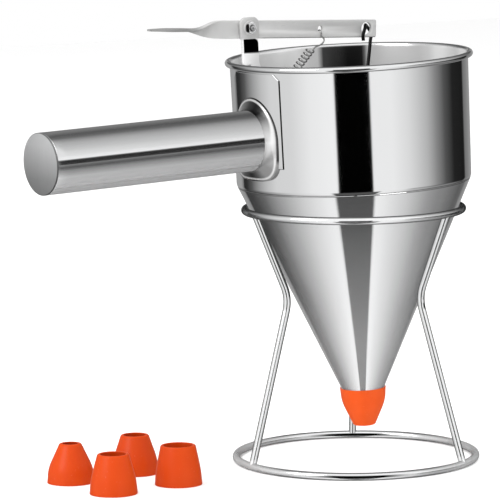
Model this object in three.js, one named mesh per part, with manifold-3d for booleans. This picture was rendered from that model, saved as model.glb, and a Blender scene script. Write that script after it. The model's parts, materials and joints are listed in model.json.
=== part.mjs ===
// A pancake batter dispenser: a steel funnel with a sprung valve, standing in a wire stand.
// Millimetres, +Z up. The handle points along -X, and the funnel leans a little towards it.

import * as THREE from 'three';
import * as BufferGeometryUtils from 'three/addons/utils/BufferGeometryUtils.js';
import Module from 'manifold-3d';

const wasm = await Module();
wasm.setup();

// Clearances
const seatGap = 0.3;
const boreGap = 0.3;
const cutOverrun = 6;
const weldTolerance = 0.0001;

// Stand
const wireRadius = 2.5;
const baseRingRadius = 77.9;
const topRingRadius = 70.3;
const topRingHeight = 163.9;
const waistHeight = 109;
const waistBend = 9;
const legCount = 3;
const standTurnDegrees = -5.5;
const legTwistDegrees = -4.5;

// Hopper shell
const sheet = 1;
const wallFootRadius = 75.8;
const wallTopRadius = 76.5;
const wallHem = 1.6;
const rimBeadRadius = 2;
const rimBeadCentre = 77.8;
const rimHeight = 79.8;
const coneTopRadius = 75.4;
const coneFootRadius = 10;
const coneHeight = 144.8;
const outletLength = 5.3;
const leanDegrees = 2.4;

// Handle
const handleRadius = 19.3;
const handleSheet = 1.2;
const handleReach = 238.6;
const handleHeight = 33.2;
const handleTiltDegrees = 0.9;
const capFace = 2;
const capSpigot = 8;
const collarHalfWidth = 21.8;
const collarRise = 27;
const collarDip = 25.4;
const collarLip = 0.9;
const collarNeck = 83;
const collarNeckWall = 0.5;
const plateSheet = 1.2;
const plateHalfWidth = 24.4;
const plateLow = 16.9;
const plateRimGap = 0.9;
const plateCorner = 4;

// Pivot bracket and its bolt
const pivotX = -75.2;
const pivotHeight = 105.5;
const bracketFront = 2.6;
const bracketSheet = 2.3;
const headHalfWidth = 7;
const headTop = 6.6;
const headFoot = 7.8;
const headCorner = 2.6;
const postHalfWidth = 6;
const postShift = 0.5;
const bracketCorner = 2;
const tongueInnerX = -61.5;
const tongueLow = 44.5;
const tongueShoulder = 12;
const boltRadius = 2;
const boltTail = 1;
const hexFlat = 7;
const nutHeight = 2.2;
const boltHeadHeight = 2.6;
const washerRadius = 4.6;
const washerSheet = 0.5;

// Lever, measured along the strip from the pivot
const leverSheet = 2;
const leverWidth = 11.5;
const leverSlopeDegrees = 4.7;
const leverDrop = 1.15;
const leverEnd = 102.7;
const leverEndCorner = 1;
const rodHoleAt = 94.9;
const rodHoleRadius = 4.1;
const springHoleAt = 57.7;
const springHoleRadius = 2;
const twistStart = 17.4;
const twistEnd = 45.8;
const paddleTip = 75.2;
const paddleTipWidth = 2.4;
const paddleBelly = 5;
const neckWidth = 9.5;

// Plunger
const rodRadius = 1.1;
const crownRise = 2.2;
const tailReach = 4.6;
const rodReach = 6.8;
const hookDepth = 3.2;
const hookDrop = 6;
const tailDrop = 9.6;
const slantDrop = 106;
const plugRadius = 8.3;
const plugLength = 4.2;
const plugTopRadius = 13;
const plugDome = 4;
const rodSocket = 7;

// Return spring
const springWire = 0.5;
const coilRadius = 2.4;
const coilPitch = 2.7;
const anchorX = -66.5;
const anchorHeight = 50.5;
const anchorHoleRadius = 2.2;
const footHookReach = 7;
const topHookReach = 5;
const springHookHalf = 1.9;
const springNeck = 3.4;
const topNeck = 14.5;
const topBow = 6.8;
const coilOffset = 3.3;

// Nozzles
const nozzleHeight = 25;
const nozzleMouthRadius = 15;
const nozzleShoulderRadius = 14.3;
const nozzleShoulder = 9.2;
const nozzleMouthWall = 0.5;
const fittedTipRadius = 7.1;
const fittedBoreRadius = 4.9;
const smallTipRadius = 6.9;
const smallBoreRadius = 4.8;
const middleTipRadius = 8.9;
const middleBoreRadius = 7.1;
const largeTipRadius = 9.9;
const largeBoreRadius = 8;
const widestTipRadius = 11.1;
const widestBoreRadius = 9.3;
const sparePlaceX = -165;
const sparePlaceY = 24;
const spareSpacing = 49;

// How finely round shapes are drawn
const shellSides = 48;
const tubeSides = 32;
const smallSides = 24;
const wireSides = 8;
const ringSides = 10;
const legSteps = 20;
const coilSteps = 8;
const coilSides = 5;

// Materials
const polished = new THREE.MeshStandardMaterial({ color: 0xd4d6d8, roughness: 0.12, metalness: 1 });
const satin = new THREE.MeshStandardMaterial({ color: 0xb4b6b8, roughness: 0.35, metalness: 1 });
const chrome = new THREE.MeshStandardMaterial({ color: 0xdcdee0, roughness: 0.08, metalness: 1 });
const springSteel = new THREE.MeshStandardMaterial({ color: 0x9a9c9e, roughness: 0.3, metalness: 1 });
const silicone = new THREE.MeshStandardMaterial({ color: 0xe2500f, roughness: 0.3, metalness: 0 });

const radians = THREE.MathUtils.degToRad;
const quarterTurn = Math.PI / 2;

// Geometry helpers

// A profile of [radius, height] pairs turned about Z. The outer side of the profile runs upwards.
function turned(profile, sides) {
  const points = profile.map(([radius, height]) => new THREE.Vector2(radius, height));
  return new THREE.LatheGeometry(points, sides).rotateX(quarterTurn);
}

// The same for a profile that doesn't touch the axis.
function turnedRing(profile, sides) {
  return turned([...profile, profile[0]], sides);
}

// A solid of equal sections, each a convex loop that turns anticlockwise about the way to the next.
function lofted(sections) {
  const count = sections[0].length;
  const positions = sections.flat().flatMap((point) => point.toArray());
  const index = [];
  for (let i = 0; i < sections.length - 1; i++) {
    for (let j = 0; j < count; j++) {
      const a = i * count + j;
      const b = i * count + (j + 1) % count;
      index.push(a, b, a + count, b, b + count, a + count);
    }
  }
  const last = (sections.length - 1) * count;
  for (let j = 1; j < count - 1; j++) {
    index.push(0, j + 1, j);
    index.push(last, last + j, last + j + 1);
  }
  const geometry = new THREE.BufferGeometry();
  geometry.setAttribute('position', new THREE.Float32BufferAttribute(positions, 3));
  geometry.setIndex(index);
  return geometry;
}

// A round wire along a list of points, with a frame carried from point to point without twist.
function wireAlong(points, radius, sides) {
  const tangents = points.map((point, i) => {
    const before = points[Math.max(i - 1, 0)];
    const after = points[Math.min(i + 1, points.length - 1)];
    return after.clone().sub(before).normalize();
  });
  const side = new THREE.Vector3(0, 1, 0);
  if (Math.abs(side.dot(tangents[0])) > Math.SQRT1_2) {
    side.set(1, 0, 0);
  }
  const sections = points.map((point, i) => {
    side.addScaledVector(tangents[i], -side.dot(tangents[i])).normalize();
    const other = tangents[i].clone().cross(side);
    return Array.from({ length: sides }, (_, j) => {
      const angle = 2 * Math.PI * j / sides;
      return point.clone()
        .addScaledVector(side, radius * Math.cos(angle))
        .addScaledVector(other, radius * Math.sin(angle));
    });
  });
  return lofted(sections);
}

// A regular polygon, turned so that one of its sides is its lowest.
function polygonPoints(radius, sides) {
  return Array.from({ length: sides }, (_, i) => {
    const angle = 2 * Math.PI * (i + 0.5) / sides - quarterTurn;
    return new THREE.Vector2(radius * Math.cos(angle), radius * Math.sin(angle));
  });
}

// A flat outline in X and Z with its front face at the given Y, and its thickness behind it.
function flatPiece(shape, front, thickness, segments = 8) {
  const geometry = new THREE.ExtrudeGeometry(shape, {
    depth: thickness,
    bevelEnabled: false,
    curveSegments: segments,
  });
  return geometry.rotateX(quarterTurn).translate(0, front + thickness, 0);
}

function circleHole(x, z, radius) {
  return new THREE.Path().absarc(x, z, radius, 0, 2 * Math.PI, true);
}

// Boolean helpers

function toSolid(geometry) {
  const bare = new THREE.BufferGeometry();
  bare.setAttribute('position', geometry.getAttribute('position'));
  bare.setIndex(geometry.getIndex());
  const merged = BufferGeometryUtils.mergeVertices(bare, weldTolerance);
  const corners = merged.getIndex().array;
  const kept = [];
  for (let i = 0; i < corners.length; i += 3) {
    const [a, b, c] = corners.slice(i, i + 3);
    if (a !== b && b !== c && c !== a) {
      kept.push(a, b, c);
    }
  }
  return new wasm.Manifold(new wasm.Mesh({
    numProp: 3,
    vertProperties: new Float32Array(merged.getAttribute('position').array),
    triVerts: new Uint32Array(kept),
  }));
}

function toGeometry(solid) {
  const mesh = solid.getMesh();
  const geometry = new THREE.BufferGeometry();
  geometry.setAttribute('position', new THREE.BufferAttribute(mesh.vertProperties, 3));
  geometry.setIndex(new THREE.BufferAttribute(mesh.triVerts, 1));
  return geometry;
}

function cut(geometry, ...tools) {
  const solid = tools.reduce((rest, tool) => rest.subtract(toSolid(tool)), toSolid(geometry));
  return toGeometry(solid);
}

function joined(first, ...others) {
  const solid = others.reduce((whole, other) => whole.add(toSolid(other)), toSolid(first));
  return toGeometry(solid);
}

function common(first, second) {
  return toGeometry(toSolid(first).intersect(toSolid(second)));
}

function piece(name, geometry, material) {
  geometry.computeVertexNormals();
  const mesh = new THREE.Mesh(geometry, material);
  mesh.name = name;
  return mesh;
}

// Stand: two wire rings and three bent legs

const coneSlope = (coneTopRadius - coneFootRadius) / coneHeight;
const coneAngle = Math.atan(coneSlope);
const wireFlat = wireRadius * Math.cos(Math.PI / ringSides);

function wireRing(centreRadius, centreHeight, radius) {
  const section = polygonPoints(radius, ringSides);
  const profile = section.map((point) => [centreRadius + point.x, centreHeight + point.y]);
  return turnedRing(profile, shellSides);
}

const baseRingGeometry = wireRing(baseRingRadius, wireFlat, wireRadius);
const topRingGeometry = wireRing(topRingRadius, topRingHeight, wireRadius);

// The legs draw in below the upper ring as much as the leaning cone's steeper side.
const waistRadius = topRingRadius
  - (topRingHeight - waistHeight) * Math.tan(coneAngle - radians(leanDegrees));

// A leg runs straight from the lower ring to its waist and straight again to the upper ring, which
// is turned a little against the lower one.
function legGeometry() {
  const up = new THREE.Vector3(0, 0, 1);
  const twist = radians(legTwistDegrees);
  const foot = new THREE.Vector3(baseRingRadius, 0, wireFlat);
  const waist = new THREE.Vector3(waistRadius, 0, waistHeight).applyAxisAngle(up, twist / 2);
  const top = new THREE.Vector3(topRingRadius, 0, topRingHeight).applyAxisAngle(up, twist);
  const below = waist.clone().add(foot.clone().sub(waist).setLength(waistBend));
  const above = waist.clone().add(top.clone().sub(waist).setLength(waistBend));
  const path = new THREE.CurvePath();
  path.add(new THREE.LineCurve3(foot, below));
  path.add(new THREE.QuadraticBezierCurve3(below, waist, above));
  path.add(new THREE.LineCurve3(above, top));
  const section = new THREE.Shape(polygonPoints(wireRadius, wireSides));
  const rod = new THREE.ExtrudeGeometry(section, {
    steps: legSteps,
    bevelEnabled: false,
    extrudePath: path,
  });
  const baseSeat = wireRing(baseRingRadius, wireFlat, wireRadius + seatGap);
  const topSeat = wireRing(topRingRadius, topRingHeight, wireRadius + seatGap);
  return cut(rod, baseSeat, topSeat);
}

function makeStand() {
  const stand = new THREE.Group();
  stand.add(piece('stand_base_ring', baseRingGeometry, chrome));
  stand.add(piece('stand_top_ring', topRingGeometry, chrome));
  for (let i = 0; i < legCount; i++) {
    const leg = piece(`stand_leg_${i + 1}`, legGeometry(), chrome);
    leg.rotation.z = Math.PI + 2 * Math.PI * i / legCount;
    stand.add(leg);
  }
  stand.rotation.z = radians(standTurnDegrees);
  return stand;
}

// Hopper shell, about its own axis with the seam between wall and cone at height zero

const rimTop = rimHeight + rimBeadRadius;
const coneWall = sheet / Math.cos(coneAngle);

function wallOuterAt(height) {
  return THREE.MathUtils.lerp(wallFootRadius, wallTopRadius, height / rimHeight);
}

function coneOuterAt(height) {
  return coneTopRadius + coneSlope * height;
}

// The wall has a small turned-in hem at its foot and a rolled bead at its rim.
function wallGeometry() {
  const hem = [
    [wallFootRadius - sheet, 0],
    [wallFootRadius - sheet / 2, 0],
    [wallFootRadius, wallHem],
  ];
  const beadSteps = 8;
  const beadStart = radians(-126);
  const beadEnd = radians(170);
  const bead = Array.from({ length: beadSteps + 1 }, (_, i) => {
    const angle = THREE.MathUtils.lerp(beadStart, beadEnd, i / beadSteps);
    return [
      rimBeadCentre + rimBeadRadius * Math.cos(angle),
      rimHeight + rimBeadRadius * Math.sin(angle),
    ];
  });
  return turnedRing([...hem, ...bead], shellSides);
}

function coneGeometry() {
  const profile = [
    [coneFootRadius - coneWall, -coneHeight],
    [coneFootRadius, -coneHeight],
    [coneOuterAt(-seatGap), -seatGap],
    [coneOuterAt(-seatGap) - coneWall, -seatGap],
  ];
  return turnedRing(profile, shellSides);
}

const outletTop = -coneHeight - seatGap;
const outletFoot = outletTop - outletLength;

function outletGeometry() {
  const profile = [
    [coneFootRadius - sheet, outletFoot],
    [coneFootRadius, outletFoot],
    [coneFootRadius, outletTop],
    [coneFootRadius - sheet, outletTop],
  ];
  return turnedRing(profile, shellSides);
}

// The handle's plate is a patch of a second skin round the wall. It ends below the rim's bead.
const plateHigh = rimHeight - rimBeadRadius - plateRimGap;

function wallSkin(inside, outside) {
  const low = plateLow - cutOverrun;
  const high = plateHigh + cutOverrun;
  const profile = [
    [wallOuterAt(low) + inside, low],
    [wallOuterAt(low) + outside, low],
    [wallOuterAt(high) + outside, high],
    [wallOuterAt(high) + inside, high],
  ];
  return turnedRing(profile, shellSides);
}

function plateOutline(grow) {
  const half = plateHalfWidth + grow;
  const low = plateLow - grow;
  const high = plateHigh + grow;
  return new THREE.Shape()
    .moveTo(-half, low)
    .lineTo(half, low)
    .lineTo(half, high - plateCorner)
    .lineTo(half - plateCorner, high)
    .lineTo(plateCorner - half, high)
    .lineTo(-half, high - plateCorner);
}

function plateBlock(grow) {
  const depth = wallTopRadius + plateSheet + cutOverrun;
  const block = new THREE.ExtrudeGeometry(plateOutline(grow), { depth, bevelEnabled: false });
  return block.rotateX(quarterTurn).rotateZ(-quarterTurn);
}

const plateGeometry = common(wallSkin(seatGap, seatGap + plateSheet), plateBlock(0));
const plateSeat = common(wallSkin(-sheet, 2 * seatGap + plateSheet), plateBlock(seatGap));

// What the handle's inner end is cut back from: the wall, a gap round it, and the plate.
function wallSeat() {
  const low = -coneHeight;
  const reach = wallTopRadius + seatGap;
  return turned([[0, low], [reach, low], [reach, rimTop], [0, rimTop]], shellSides);
}

// Parts round the handle's axis are turned upright, then laid down along -X and tilted.
function alongHandle(geometry) {
  return geometry
    .rotateY(-quarterTurn)
    .rotateY(radians(handleTiltDegrees))
    .translate(0, 0, handleHeight);
}

// An outline with its height along Y, turned so that the handle's upper side is on top.
function turnedUp(geometry) {
  return geometry.rotateZ(-quarterTurn);
}

// The collar's lip is round above and squarer below, and follows the wall at a small distance.
function lipOutline() {
  const roundPower = 2;
  const squarePower = 4;
  return Array.from({ length: tubeSides }, (_, i) => {
    const angle = 2 * Math.PI * i / tubeSides;
    const across = Math.cos(angle);
    const rise = Math.sin(angle);
    const power = 2 / (rise > 0 ? roundPower : squarePower);
    return new THREE.Vector2(
      Math.sign(across) * collarHalfWidth * Math.pow(Math.abs(across), power),
      Math.sign(rise) * (rise > 0 ? collarRise : collarDip) * Math.pow(Math.abs(rise), power),
    );
  });
}

// A trumpet from a thin neck round the tube to the lip, bored for the tube and seated on the wall.
function collarGeometry() {
  const inner = handleRadius + seatGap;
  const lip = lipOutline();
  const neck = lip.map((point) => point.clone().setLength(inner + collarNeckWall));
  const start = (wallFootRadius + handleRadius) / 2;
  const wallReach = wallTopRadius + seatGap + plateSheet + collarLip;
  const lipAlong = lip.map((point) => Math.sqrt(wallReach * wallReach - point.x * point.x));
  const flareSteps = 6;
  const flare = Array.from({ length: flareSteps + 1 }, (_, i) => {
    const share = i / flareSteps;
    return lip.map((point, j) => {
      const place = point.clone().lerp(neck[j], 1 - (1 - share) * (1 - share));
      return new THREE.Vector3(place.x, place.y, THREE.MathUtils.lerp(lipAlong[j], collarNeck, share));
    });
  });
  const hidden = lip.map((point) => new THREE.Vector3(point.x, point.y, start));
  const whole = lofted([hidden, ...flare]);
  const bore = new THREE.CylinderGeometry(inner, inner, collarNeck + cutOverrun, tubeSides);
  bore.rotateX(quarterTurn).translate(0, 0, (collarNeck + cutOverrun) / 2 + seatGap);
  return cut(alongHandle(turnedUp(cut(whole, bore))), wallSeat(), plateSeat);
}

function handleTubeGeometry() {
  const start = wallTopRadius / 2;
  const end = handleReach - capFace - seatGap;
  const profile = [
    [handleRadius - handleSheet, start],
    [handleRadius, start],
    [handleRadius, end],
    [handleRadius - handleSheet, end],
  ];
  return cut(alongHandle(turnedRing(profile, tubeSides)), wallSeat(), plateSeat);
}

// The end cap is a disc with a spigot that fits in the tube.
function endCapGeometry() {
  const spigot = handleRadius - handleSheet - boreGap;
  const face = handleReach - capFace;
  const profile = [
    [0, face - capSpigot],
    [spigot, face - capSpigot],
    [spigot, face],
    [handleRadius, face],
    [handleRadius, handleReach],
    [0, handleReach],
  ];
  return alongHandle(turned(profile, tubeSides));
}

// Pivot bracket: a flat plate on edge inside the wall, with a tongue down to the spring's hole

function wallInnerX(height, y) {
  const radius = (wallOuterAt(height) - sheet) * Math.cos(Math.PI / shellSides);
  return -Math.sqrt(radius * radius - y * y) + seatGap;
}

function bracketGeometry() {
  const back = bracketFront + bracketSheet;
  const left = pivotX + postShift - postHalfWidth;
  const right = pivotX + postShift + postHalfWidth;
  const overRim = rimTop + seatGap;
  const shoulder = rimTop - tongueShoulder;
  const headMiddle = pivotX + postShift;
  const headLow = pivotHeight - headFoot;
  const headHigh = pivotHeight + headTop;
  const shape = new THREE.Shape()
    .moveTo(tongueInnerX - bracketCorner, tongueLow)
    .lineTo(tongueInnerX, tongueLow + bracketCorner)
    .lineTo(tongueInnerX, shoulder)
    .lineTo(right, overRim)
    .lineTo(right, headLow)
    .lineTo(headMiddle + headHalfWidth, headLow + bracketCorner)
    .lineTo(headMiddle + headHalfWidth, headHigh - headCorner)
    .lineTo(headMiddle + headHalfWidth - headCorner, headHigh)
    .lineTo(headMiddle - headHalfWidth + headCorner, headHigh)
    .lineTo(headMiddle - headHalfWidth, headHigh - headCorner)
    .lineTo(headMiddle - headHalfWidth, headLow + bracketCorner)
    .lineTo(left, headLow)
    .lineTo(left, overRim + bracketCorner)
    .lineTo(left + bracketCorner, overRim)
    .lineTo(wallInnerX(rimHeight, back), overRim)
    .lineTo(wallInnerX(tongueLow, back), tongueLow);
  shape.holes.push(circleHole(pivotX, pivotHeight, boltRadius + boreGap));
  shape.holes.push(circleHole(anchorX, anchorHeight, anchorHoleRadius));
  return flatPiece(shape, bracketFront, bracketSheet);
}

// The stack on the pivot's bolt, from the nut in front to the bolt's head behind the lever

const washerFront = bracketFront - seatGap - washerSheet;
const nutFront = washerFront - seatGap - nutHeight;
const leverFront = bracketFront + bracketSheet + seatGap;
const leverMiddle = leverFront + leverSheet / 2;
const boltHeadFront = leverFront + leverSheet + seatGap;

function hexShape() {
  const sides = 6;
  const corner = hexFlat / 2 / Math.cos(Math.PI / sides);
  return new THREE.Shape(polygonPoints(corner, sides));
}

function boltGeometry() {
  const tail = nutFront - boltTail;
  const length = boltHeadFront + boltHeadHeight / 2 - tail;
  const shank = new THREE.CylinderGeometry(boltRadius, boltRadius, length, smallSides);
  shank.translate(0, tail + length / 2, 0);
  const head = flatPiece(hexShape(), boltHeadFront, boltHeadHeight);
  return joined(shank, head);
}

function washerGeometry() {
  const shape = new THREE.Shape().absarc(0, 0, washerRadius, 0, 2 * Math.PI, false);
  shape.holes.push(circleHole(0, 0, boltRadius + boreGap));
  return flatPiece(shape, washerFront, washerSheet, smallSides / 2);
}

function nutGeometry() {
  const shape = hexShape();
  shape.holes.push(circleHole(0, 0, boltRadius + boreGap));
  return flatPiece(shape, nutFront, nutHeight);
}

// Lever: a flat strip on edge that twists a quarter turn and ends in a thumb paddle

const leverSlope = radians(leverSlopeDegrees);

// A point in hopper coordinates from its place along the lever and its height over the strip's middle.
function onLever(along, up) {
  const rise = up - leverDrop;
  return new THREE.Vector3(
    pivotX + along * Math.cos(leverSlope) + rise * Math.sin(leverSlope),
    leverMiddle,
    pivotHeight - along * Math.sin(leverSlope) + rise * Math.cos(leverSlope),
  );
}

// A section of the strip across its length, with its width turned from upright by the given angle.
function stripSection(along, width, angle) {
  const across = [[1, 1], [-1, 1], [-1, -1], [1, -1]];
  return across.map(([side, edge]) => {
    const flat = side * leverSheet / 2;
    const wide = edge * width / 2;
    return new THREE.Vector3(
      along,
      flat * Math.cos(angle) - wide * Math.sin(angle),
      flat * Math.sin(angle) + wide * Math.cos(angle),
    );
  });
}

function leverStrip() {
  const sections = [];
  const paddleSteps = 8;
  const bellyShare = 0.8;
  for (let i = 0; i <= paddleSteps; i++) {
    const share = i / paddleSteps;
    const along = THREE.MathUtils.lerp(-paddleTip, -twistEnd, share);
    const taper = THREE.MathUtils.lerp(paddleTipWidth, neckWidth, share);
    const belly = paddleBelly * Math.sin(Math.PI * Math.pow(share, bellyShare));
    sections.push(stripSection(along, taper + belly, quarterTurn));
  }
  const twistSteps = 10;
  for (let i = 1; i <= twistSteps; i++) {
    const share = i / twistSteps;
    const along = THREE.MathUtils.lerp(-twistEnd, -twistStart, share);
    const width = THREE.MathUtils.lerp(neckWidth, leverWidth, share);
    const ease = THREE.MathUtils.smoothstep(share, 0, 1);
    sections.push(stripSection(along, width, quarterTurn * (1 - ease)));
  }
  sections.push(stripSection(leverEnd - leverEndCorner, leverWidth, 0));
  sections.push(stripSection(leverEnd, leverWidth - 2 * leverEndCorner, 0));
  return lofted(sections);
}

function crossPin(along, up, radius) {
  const pin = new THREE.CylinderGeometry(radius, radius, leverSheet + cutOverrun, smallSides);
  return pin.translate(along, 0, up);
}

function leverGeometry() {
  return cut(
    leverStrip(),
    crossPin(0, leverDrop, boltRadius + boreGap),
    crossPin(rodHoleAt, 0, rodHoleRadius),
    crossPin(springHoleAt, 0, springHoleRadius),
  ).translate(0, 0, -leverDrop).rotateY(leverSlope).translate(pivotX, leverMiddle, pivotHeight);
}

// Plunger: a wire hooked through the lever that slants to the outlet's axis, and its plug

const rodHole = onLever(rodHoleAt, 0);
const rodCrown = rodHole.clone().setZ(rodHole.z + crownRise);
const plugGap = seatGap / Math.cos(coneAngle);
const plugFoot = outletTop - plugLength;
const plugShoulder = -coneHeight + (plugRadius + plugGap + coneWall - coneFootRadius) / coneSlope;
const plugTop = plugShoulder + (plugTopRadius - plugRadius) / coneSlope;
const socketFoot = plugTop + plugDome - rodSocket;

// From the tail's tip in front of the lever, over the crown in the hole, and down behind the lever.
function rodPath() {
  const steep = 0.9;
  const early = 0.25;
  const hook = [
    [-tailReach, -hookDepth, -tailDrop],
    [-tailReach, -hookDepth, -hookDrop],
    [-tailReach * (1 - steep / 2), -hookDepth * steep, -hookDrop * early],
    [0, 0, 0],
    [rodReach / 2, hookDepth * steep, -hookDrop * early],
    [rodReach, hookDepth, -hookDrop],
  ];
  const corners = hook.map((offset) => rodCrown.clone().add(new THREE.Vector3(...offset)));
  const bend = new THREE.CatmullRomCurve3(corners).getPoints(3 * corners.length);
  const kneeHeight = rodCrown.z - hookDrop - slantDrop;
  return [
    ...bend,
    new THREE.Vector3(0, 0, kneeHeight),
    new THREE.Vector3(0, 0, socketFoot + boreGap),
  ];
}

function rodGeometry() {
  return wireAlong(rodPath().reverse(), rodRadius, wireSides);
}

function plugGeometry() {
  const socket = rodRadius + boreGap;
  const profile = [
    [0, plugFoot],
    [plugRadius, plugFoot],
    [plugRadius, plugShoulder],
    [plugTopRadius, plugTop],
    [plugTopRadius / 2, plugTop + plugDome],
    [socket, plugTop + plugDome],
    [socket, socketFoot],
    [0, socketFoot],
  ];
  return turned(profile, smallSides);
}

// Return spring: a hook through the lever, open coils, and a hook through the bracket's foot

const hookSteps = 5;

// One hook, from its short leg round the bend to its long leg. The bend bites on the near side of its hole.
function hookPoints(place, holeRadius, reach) {
  const bite = holeRadius - springWire - 2 * boreGap;
  const bend = Array.from({ length: hookSteps + 1 }, (_, i) => {
    const angle = Math.PI * i / hookSteps;
    return place(bite + springHookHalf * (1 - Math.sin(angle)), springHookHalf * Math.cos(angle), 0);
  });
  const shortLeg = place(reach / 2, springHookHalf, 0);
  const longLeg = place(reach, -springHookHalf, 0);
  return [shortLeg, ...bend, longLeg];
}

// The neck sways out from the hook in an S to the coil, whose axis starts beside the line of pull.
function springPoints() {
  const top = onLever(springHoleAt, 0);
  const foot = new THREE.Vector3(anchorX, bracketFront + bracketSheet / 2, anchorHeight);
  const down = new THREE.Vector3(0, 0, -1);
  const axis = foot.clone().sub(top).normalize();
  const side = new THREE.Vector3(0, 1, 0).addScaledVector(axis, -axis.y).normalize();
  const other = axis.clone().cross(side);
  const underTop = (along, across) => top.clone()
    .addScaledVector(down, along)
    .addScaledVector(side, across);
  const fromTop = (along, across, out) => top.clone()
    .addScaledVector(axis, along)
    .addScaledVector(side, across)
    .addScaledVector(other, out);
  const fromFoot = (along, across, out) => foot.clone()
    .addScaledVector(axis, -along)
    .addScaledVector(side, across)
    .addScaledVector(other, out);
  const coilEnd = top.distanceTo(foot) - footHookReach - springNeck;
  const curls = Math.round((coilEnd - topNeck) / coilPitch);
  const steps = curls * coilSteps;
  const coil = Array.from({ length: steps + 1 }, (_, i) => {
    const angle = 2 * Math.PI * i / coilSteps;
    const share = i / steps;
    const along = THREE.MathUtils.lerp(topNeck, coilEnd, share);
    const out = coilOffset * (1 - share) + coilRadius * Math.sin(angle);
    return fromTop(along, -coilRadius * Math.cos(angle), out);
  });
  const firstHook = hookPoints(underTop, springHoleRadius, topHookReach);
  const swayShares = [[0.24, 0.84], [0.4, 1], [0.63, 0.82], [0.82, 0.54]];
  const sway = swayShares.map(([along, out], i) => {
    const across = THREE.MathUtils.lerp(springHookHalf, coilRadius, (i + 1) / swayShares.length);
    return fromTop(along * topNeck, -across, out * topBow);
  });
  const lastHook = hookPoints(fromFoot, anchorHoleRadius, footHookReach).reverse();
  return [...firstHook, ...sway, ...coil, ...lastHook];
}

// The least distance between parts of the spring's wire that aren't neighbours along it.
function leastGap(points, wire, apart) {
  let least = Infinity;
  for (let i = 0; i < points.length; i++) {
    for (let j = i + apart; j < points.length; j++) {
      least = Math.min(least, points[i].distanceTo(points[j]) - 2 * wire);
    }
  }
  return least;
}

const springLine = springPoints();
const curlGap = leastGap(springLine, springWire, coilSteps / 2);
console.log('least gap between the curls of the spring', curlGap.toFixed(2), 'mm');

// Nozzles, with the wide mouth upwards at height zero and the tip below

const nozzleMouthInner = nozzleMouthRadius - nozzleMouthWall;
const nozzleGripRadius = coneFootRadius + boreGap;
const nozzleGripDepth = (nozzleMouthInner - nozzleGripRadius) / coneSlope;
const nozzleSeat = nozzleGripDepth - coneHeight;

function nozzleGeometry(tipRadius, boreRadius) {
  const stubFoot = -nozzleGripDepth - outletLength - seatGap;
  const profile = [
    [boreRadius, -nozzleHeight],
    [tipRadius, -nozzleHeight],
    [nozzleShoulderRadius, -nozzleShoulder],
    [nozzleMouthRadius, 0],
    [nozzleMouthInner, 0],
    [nozzleGripRadius, -nozzleGripDepth],
    [nozzleGripRadius, stubFoot],
  ];
  return turnedRing(profile, smallSides);
}

function fittedNozzle() {
  const nozzle = piece('nozzle_fitted', nozzleGeometry(fittedTipRadius, fittedBoreRadius), silicone);
  nozzle.position.z = nozzleSeat;
  return nozzle;
}

const spareTips = [
  { name: 'nozzle_spare_1', tipRadius: smallTipRadius, boreRadius: smallBoreRadius },
  { name: 'nozzle_spare_2', tipRadius: middleTipRadius, boreRadius: middleBoreRadius },
  { name: 'nozzle_spare_3', tipRadius: largeTipRadius, boreRadius: largeBoreRadius },
  { name: 'nozzle_spare_4', tipRadius: widestTipRadius, boreRadius: widestBoreRadius },
];

// The spare nozzles stand on their wide mouths, two by two, under the handle.
function spareNozzles() {
  const spares = new THREE.Group();
  const perRow = 2;
  spareTips.forEach(({ name, tipRadius, boreRadius }, i) => {
    const spare = piece(name, nozzleGeometry(tipRadius, boreRadius), silicone);
    const column = i % perRow;
    const row = Math.floor(i / perRow);
    spare.rotation.x = Math.PI;
    spare.position.x = sparePlaceX + (column - 1 / 2) * spareSpacing;
    spare.position.y = sparePlaceY - (row - 1 / 2) * spareSpacing;
    spares.add(spare);
  });
  return spares;
}

// Hopper, seated where both sides of the leaning cone meet the upper ring

function hopperSeat() {
  const lean = radians(leanDegrees);
  const reach = coneTopRadius * Math.cos(coneAngle) + wireRadius + seatGap;
  const right = new THREE.Vector2(Math.cos(lean - coneAngle), Math.sin(lean - coneAngle));
  const left = new THREE.Vector2(-Math.cos(lean + coneAngle), -Math.sin(lean + coneAngle));
  const toRight = right.dot(new THREE.Vector2(topRingRadius, topRingHeight)) - reach;
  const toLeft = left.dot(new THREE.Vector2(-topRingRadius, topRingHeight)) - reach;
  const area = right.cross(left);
  return new THREE.Vector3(
    (toRight * left.y - toLeft * right.y) / area,
    0,
    (right.x * toLeft - left.x * toRight) / area,
  );
}

function atPivot(name, geometry, material) {
  const mesh = piece(name, geometry, material);
  mesh.position.set(pivotX, 0, pivotHeight);
  return mesh;
}

function makeHopper() {
  const hopper = new THREE.Group();
  hopper.add(piece('hopper_wall', wallGeometry(), polished));
  hopper.add(piece('hopper_cone', coneGeometry(), polished));
  hopper.add(piece('outlet_tube', outletGeometry(), polished));
  hopper.add(piece('handle_plate', plateGeometry, polished));
  hopper.add(piece('handle_collar', collarGeometry(), polished));
  hopper.add(piece('handle_tube', handleTubeGeometry(), polished));
  hopper.add(piece('handle_end_cap', endCapGeometry(), satin));
  hopper.add(piece('pivot_bracket', bracketGeometry(), polished));
  hopper.add(atPivot('pivot_bolt', boltGeometry(), chrome));
  hopper.add(atPivot('pivot_washer', washerGeometry(), chrome));
  hopper.add(atPivot('pivot_nut', nutGeometry(), chrome));
  hopper.add(piece('lever', leverGeometry(), satin));
  hopper.add(piece('return_spring', wireAlong(springLine, springWire, coilSides), springSteel));
  hopper.add(piece('plunger_rod', rodGeometry(), chrome));
  hopper.add(piece('plunger_stopper', plugGeometry(), polished));
  hopper.add(fittedNozzle());
  hopper.position.copy(hopperSeat());
  hopper.rotation.y = -radians(leanDegrees);
  return hopper;
}

// The whole dispenser, with its origin on the table under the middle of its extent

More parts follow.
